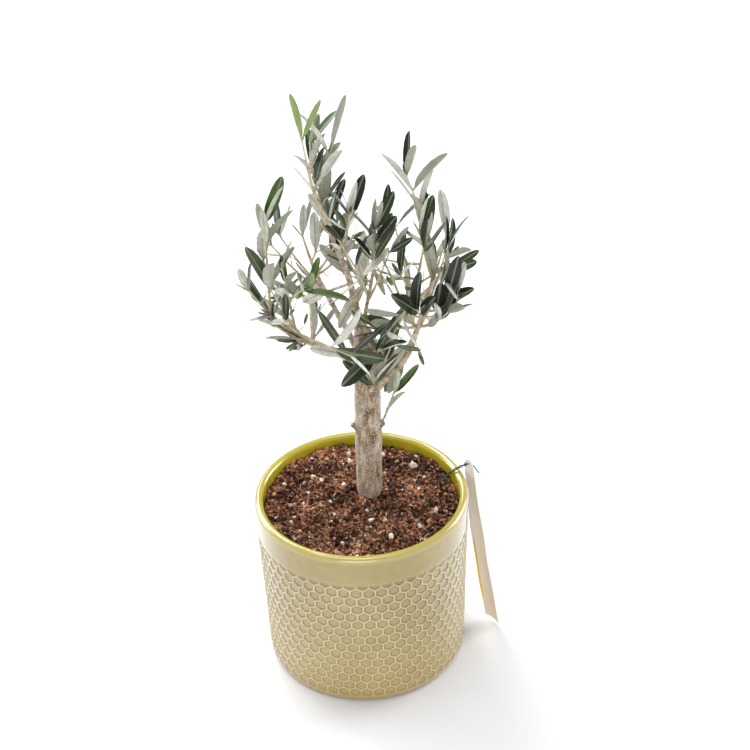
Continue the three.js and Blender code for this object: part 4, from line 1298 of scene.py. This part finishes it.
placed, moved, left_out, still_crossing = [], 0, 0, 0
for name, (tubes, youth, leaves) in sprays.items():
    kept = []
    for leaf in leaves:
        others = [bark_body] + [body for title, body in shoot_bodies if title != leaf["shoot"]]
        others += [body for root, body in placed if np.linalg.norm(root - leaf["root"]) < NEIGHBOURS_WITHIN]
        crossings, swings, way, body = freed(leaf, others)
        if crossings and leaf["pair"] < 0:
            left_out += 1
            continue
        moved += swings > 0
        still_crossing += crossings > 0
        kept.append(way)
        placed.append((leaf["root"], body))
    sprays[name] = (tubes, youth, kept)
print(len(placed), "leaves:", moved, "swung aside,", left_out, "left out,", still_crossing,
      "still touch something")

# %% [markdown]
# ## The leaves' colours
# Each leaf takes one of a few plain greens: most are old and dark, some shoots are younger and brighter. Two
# numbers on the points say how bright a leaf is and how young. Two more say where on the leaf a point lies,
# so that the midrib, the margin and the side veins can be drawn along it.

# %% Leaf finishes
YOUNG_SHOOTS = {"leader": 1.0, "leader.3": 0.3, "left.0": 0.45, "left.4": 0.5, "left.5": 0.4, "left.11": 0.5,
                "collar.0": 0.5, "sprout": 0.4}
TIP_YOUTH = 0.55
VEINS = 13
VEIN_SLANT = 2.4


def leaf_finish(name, tones, young, rib, rib_half, vein_share, **values):
    made = Finish(name, **values)
    across = made.sums("ABSOLUTE", made.number("across"))
    veins = made.sums("SUBTRACT", made.sums("MULTIPLY", made.number("along"), VEINS),
                      made.sums("MULTIPLY", across, VEIN_SLANT))
    colour = made.mixed(made.number("youth"), made.ramp(made.number("tone"), *tones), young)
    for line in (made.ramp(across, (rib_half * 0.5, 0.75), (rib_half, 0)),
                 made.ramp(across, (0.84, 0), (0.97, 0.4)),
                 made.ramp(made.sums("FRACT", veins), (0.0, vein_share), (0.22, 0), (0.9, 0),
                           (1.0, vein_share))):
        colour = made.mixed(line, colour, rib)
    blotches = made.ramp(made.clouds(5, 4, 0.6), (0.35, 0.72), (0.65, 1.0))
    made.colour(made.mixed(1.0, colour, blotches, blend_type="MULTIPLY"))
    made.bump(made.clouds(1.1, 3), 0.14)
    return made


leaf_above = leaf_finish(
    "leaf_above", ((0.0, 12, 22, 12), (0.4, 28, 40, 24), (0.75, 46, 62, 38), (1.0, 84, 98, 64)),
    young=(104, 142, 48), rib=(146, 156, 126), rib_half=0.15, vein_share=0.14,
    Roughness=0.3, Specular_IOR_Level=0.45, Coat_Weight=0.12, Coat_Roughness=0.15)
leaf_below = leaf_finish(
    "leaf_below", ((0.0, 146, 150, 130), (0.35, 192, 193, 176), (0.7, 220, 219, 206), (1.0, 246, 245, 238)),
    young=(140, 168, 80), rib=(150, 152, 124), rib_half=0.13, vein_share=0.18,
    Roughness=0.6, Sheen_Weight=0.2, Sheen_Roughness=0.5)

twig_finish = Finish("young_wood", Roughness=0.6)
old = twig_finish.ramp(twig_finish.clouds(3, 3), (0.35, 144, 120, 102), (0.65, 218, 202, 180))
green = twig_finish.ramp(twig_finish.clouds(4, 3), (0.35, 178, 170, 134), (0.65, 224, 216, 180))
twig_finish.colour(twig_finish.mixed(twig_finish.number("youth"), old, green))
twig_finish.bump(twig_finish.clouds(0.8, 3), 0.08)

print("finishes:", [finish.material.name for finish in (leaf_above, leaf_below, twig_finish)])

# %% [markdown]
# The twigs of a spray are one piece and its leaves another. The numbers that the finishes read are written
# on the points of each leaf, and its faces take the upper or the lower finish by their place in the leaf.

# %% Twigs and leaves of each spray


def leaf_youth(leaf):
    """How young a leaf looks: the first pair of a young shoot most, and each pair further down less."""
    pair = leaf["pair"]
    share = 0.45 - 0.1 * pair if pair else 1
    return max(YOUNG_SHOOTS.get(leaf["shoot"], 0) * share, TIP_YOUTH if pair < 0 else 0)


for name, (tubes, youth, leaves) in sprays.items():
    twigs = joined(f"{name}_twigs", tubes, youth=youth)
    smooth(twigs)
    finish_piece(twigs, [twig_finish], "leaves", f"{name}_spray")
    blades = joined(f"{name}_leaves", [(leaf_rows(leaf), LEAF_FACES) for leaf in leaves],
                    tone=[leaf["tone"] for leaf in leaves], youth=[leaf_youth(leaf) for leaf in leaves],
                    across=[ACROSS] * len(leaves), along=[ALONG] * len(leaves))
    finish_piece(blades, [leaf_above, leaf_below], "leaves", f"{name}_spray")
    blades.data.polygons.foreach_set("material_index", LEAF_SIDES * len(leaves))
    smooth(blades, 60)

# %% [markdown]
# ## The name tag and its wire
# A blank strip of card hangs outside the rim from a covered wire that comes up out of the soil. The card is
# a grid that is laid along a slightly bowed line, curled to a shallow gutter, and given its thickness. Its
# hole is cut with a second body. The wire is doubled and twisted from the soil to the rim, and single from
# there to its hook, so it is two tubes: one runs the whole way, and the other ends at the rim.

# %% The card
TAG_HEAD = np.array((71.6, 19.4, 132.3))
TAG_FOOT = np.array((87.4, 9.2, 3.4))
TAG_ACROSS = unit(np.array([0.64, -0.77, 0]))
TAG_FACE = np.cross(TAG_ACROSS, unit(TAG_FOOT - TAG_HEAD))
TAG_WIDTHS = (8, 13)
TAG_TAPER = 0.45
TAG_ROUNDING = 0.025
TAG_THICKNESS = 0.6
TAG_BOW = -1
TAG_CURL = 1.3
TAG_RIPPLE, RIPPLES = 0.25, 17

let_go()
bpy.ops.mesh.primitive_grid_add(x_subdivisions=12, y_subdivisions=90, size=2)
card = christen("name_tag")
flat = points_of(card) * MM
run = (1 - flat[:, 1]) / 2
curl = -TAG_CURL * flat[:, 0] ** 2 * (0.5 + 0.5 * np.clip(run * 3, 0, 1))
ripple = TAG_RIPPLE * np.sin(run * RIPPLES + 1) * flat[:, 0]
line = TAG_HEAD + np.outer(run, TAG_FOOT - TAG_HEAD)
line[:, 0] += TAG_BOW * np.sin(np.pi * run)
width = mix(*TAG_WIDTHS, np.clip(run / TAG_TAPER, 0, 1)) * np.sqrt(np.clip(run / TAG_ROUNDING, 0.2, 1))
move_points(card, line + np.outer(flat[:, 0] * width / 2, TAG_ACROSS) + np.outer(curl + ripple, TAG_FACE))
give(card, leading=-flat[:, 0], run=run)
add_modifier(card, "thickness", "SOLIDIFY", thickness=TAG_THICKNESS * MM, offset=0)
apply_modifiers(card)

# %% [markdown]
# The wire comes out of the soil, goes over the rim and through the card's head, and ends beyond it in a
# hook. The hole is cut along the wire's own line, so that the wire has room in it on all sides.

# %% The hole and the wire
WIRE_POINTS = ((53.6, 20, 115.8), (57.6, 19.6, 120.4), (62.3, 18.8, 125.2), (67.5, 19, 127.9),
               (72.2, 19.4, 128.7), (74.4, 19.2, 127.4), (76.2, 18.9, 124.6), (78.1, 18.5, 121.6))
HOLE_RADIUS = 1.0
HOLE_RUN = (0.42, 0.72)
STRAND_RADIUS = 0.42
STRAND_OFFSET = 0.55
TWIST_END, TWIST_FADE = 0.5, 0.1
TWISTS = 2.5

wire_curve = limb_curve(WIRE_POINTS)
through = [wire_curve(t) for t in np.linspace(*HOLE_RUN, 10)]
punch = joined("punch", [tube(through, np.full(len(through), HOLE_RADIUS), 16)])
add_modifier(card, "hole", "BOOLEAN", operation="DIFFERENCE", solver="EXACT", object=punch)
apply_modifiers(card)
bpy.data.objects.remove(punch)
smooth(card, 40)


def strand(first_turn, last):
    """One strand of the wire, wound round its middle line up to the rim."""
    shares = np.linspace(0, last, 80)
    middle = np.array([wire_curve(t) for t in shares])
    ahead = np.gradient(middle, axis=0)
    ahead /= np.linalg.norm(ahead, axis=1)[:, None]
    side = np.cross(ahead, TOWARDS_FRONT)
    angle = 2 * np.pi * (TWISTS * shares / TWIST_END + first_turn)
    apart = STRAND_OFFSET * np.clip((TWIST_END + 0.06 - shares) / TWIST_FADE, 0, 1)
    around = np.cos(angle)[:, None] * side + np.sin(angle)[:, None] * np.cross(ahead, side)
    return tube(middle + apart[:, None] * around, np.full(len(shares), STRAND_RADIUS), 10)


wire = joined("green_wire", [strand(0, 1), strand(0.5, TWIST_END)])
smooth(wire)
print("card of", len(card.data.polygons), "faces, wire of", len(wire.data.polygons), "faces")

# %% [markdown]
# The card is matt and off-white, with painted shade that makes it darker and creamier towards its foot,
# where the pot shades it, and a thin yellow line along one edge of its lower half. The wire is covered in
# dark green, which shines a little.

# %% Finishes of the card and wire
card_finish = Finish("blank_card", Roughness=0.6)
run, leading = card_finish.number("run"), card_finish.number("leading")
paper = card_finish.ramp(card_finish.clouds(18, 3), (0.3, 250, 244, 238), (0.7, 255, 252, 250))
# painted shade: the card grows darker and creamier towards its foot, where the pot shades it
painted_shade_low = card_finish.ramp(run, (0.45, 0), (0.95, 0.75))
low = card_finish.ramp(run, (0.5, 0), (0.52, 1), (0.87, 1), (0.89, 0))
side = card_finish.ramp(leading, (0.74, 0), (0.77, 1))
strip = card_finish.sums("MULTIPLY", low, side)
paper = card_finish.mixed(painted_shade_low, paper, (226, 206, 180))
card_finish.colour(card_finish.mixed(strip, paper, (240, 206, 84)))
card_finish.bump(card_finish.clouds(0.7, 3), 0.05)
finish_piece(card, [card_finish], "card", "hang_tag")

wire_finish = Finish("green_covering", Base_Color=srgb(24, 74, 58), Roughness=0.4)
wire_finish.bump(wire_finish.clouds(1.5, 2), 0.05)
finish_piece(wire, [wire_finish], "wire", "tag_wire")

# %% [markdown]
# ## The sizes
# The box round the finished pieces is measured and kept beside the box of the plain solids. Both lie in one
# frame, so they have to agree closely.

# %% Sizes and the end
visual_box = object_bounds()
boxes = {"cad": [list(corner) for corner in cad_box], "visual": [list(corner) for corner in visual_box]}
for title, corners in boxes.items():
    print(title, [[round(value / MM, 1) for value in corner] for corner in corners])
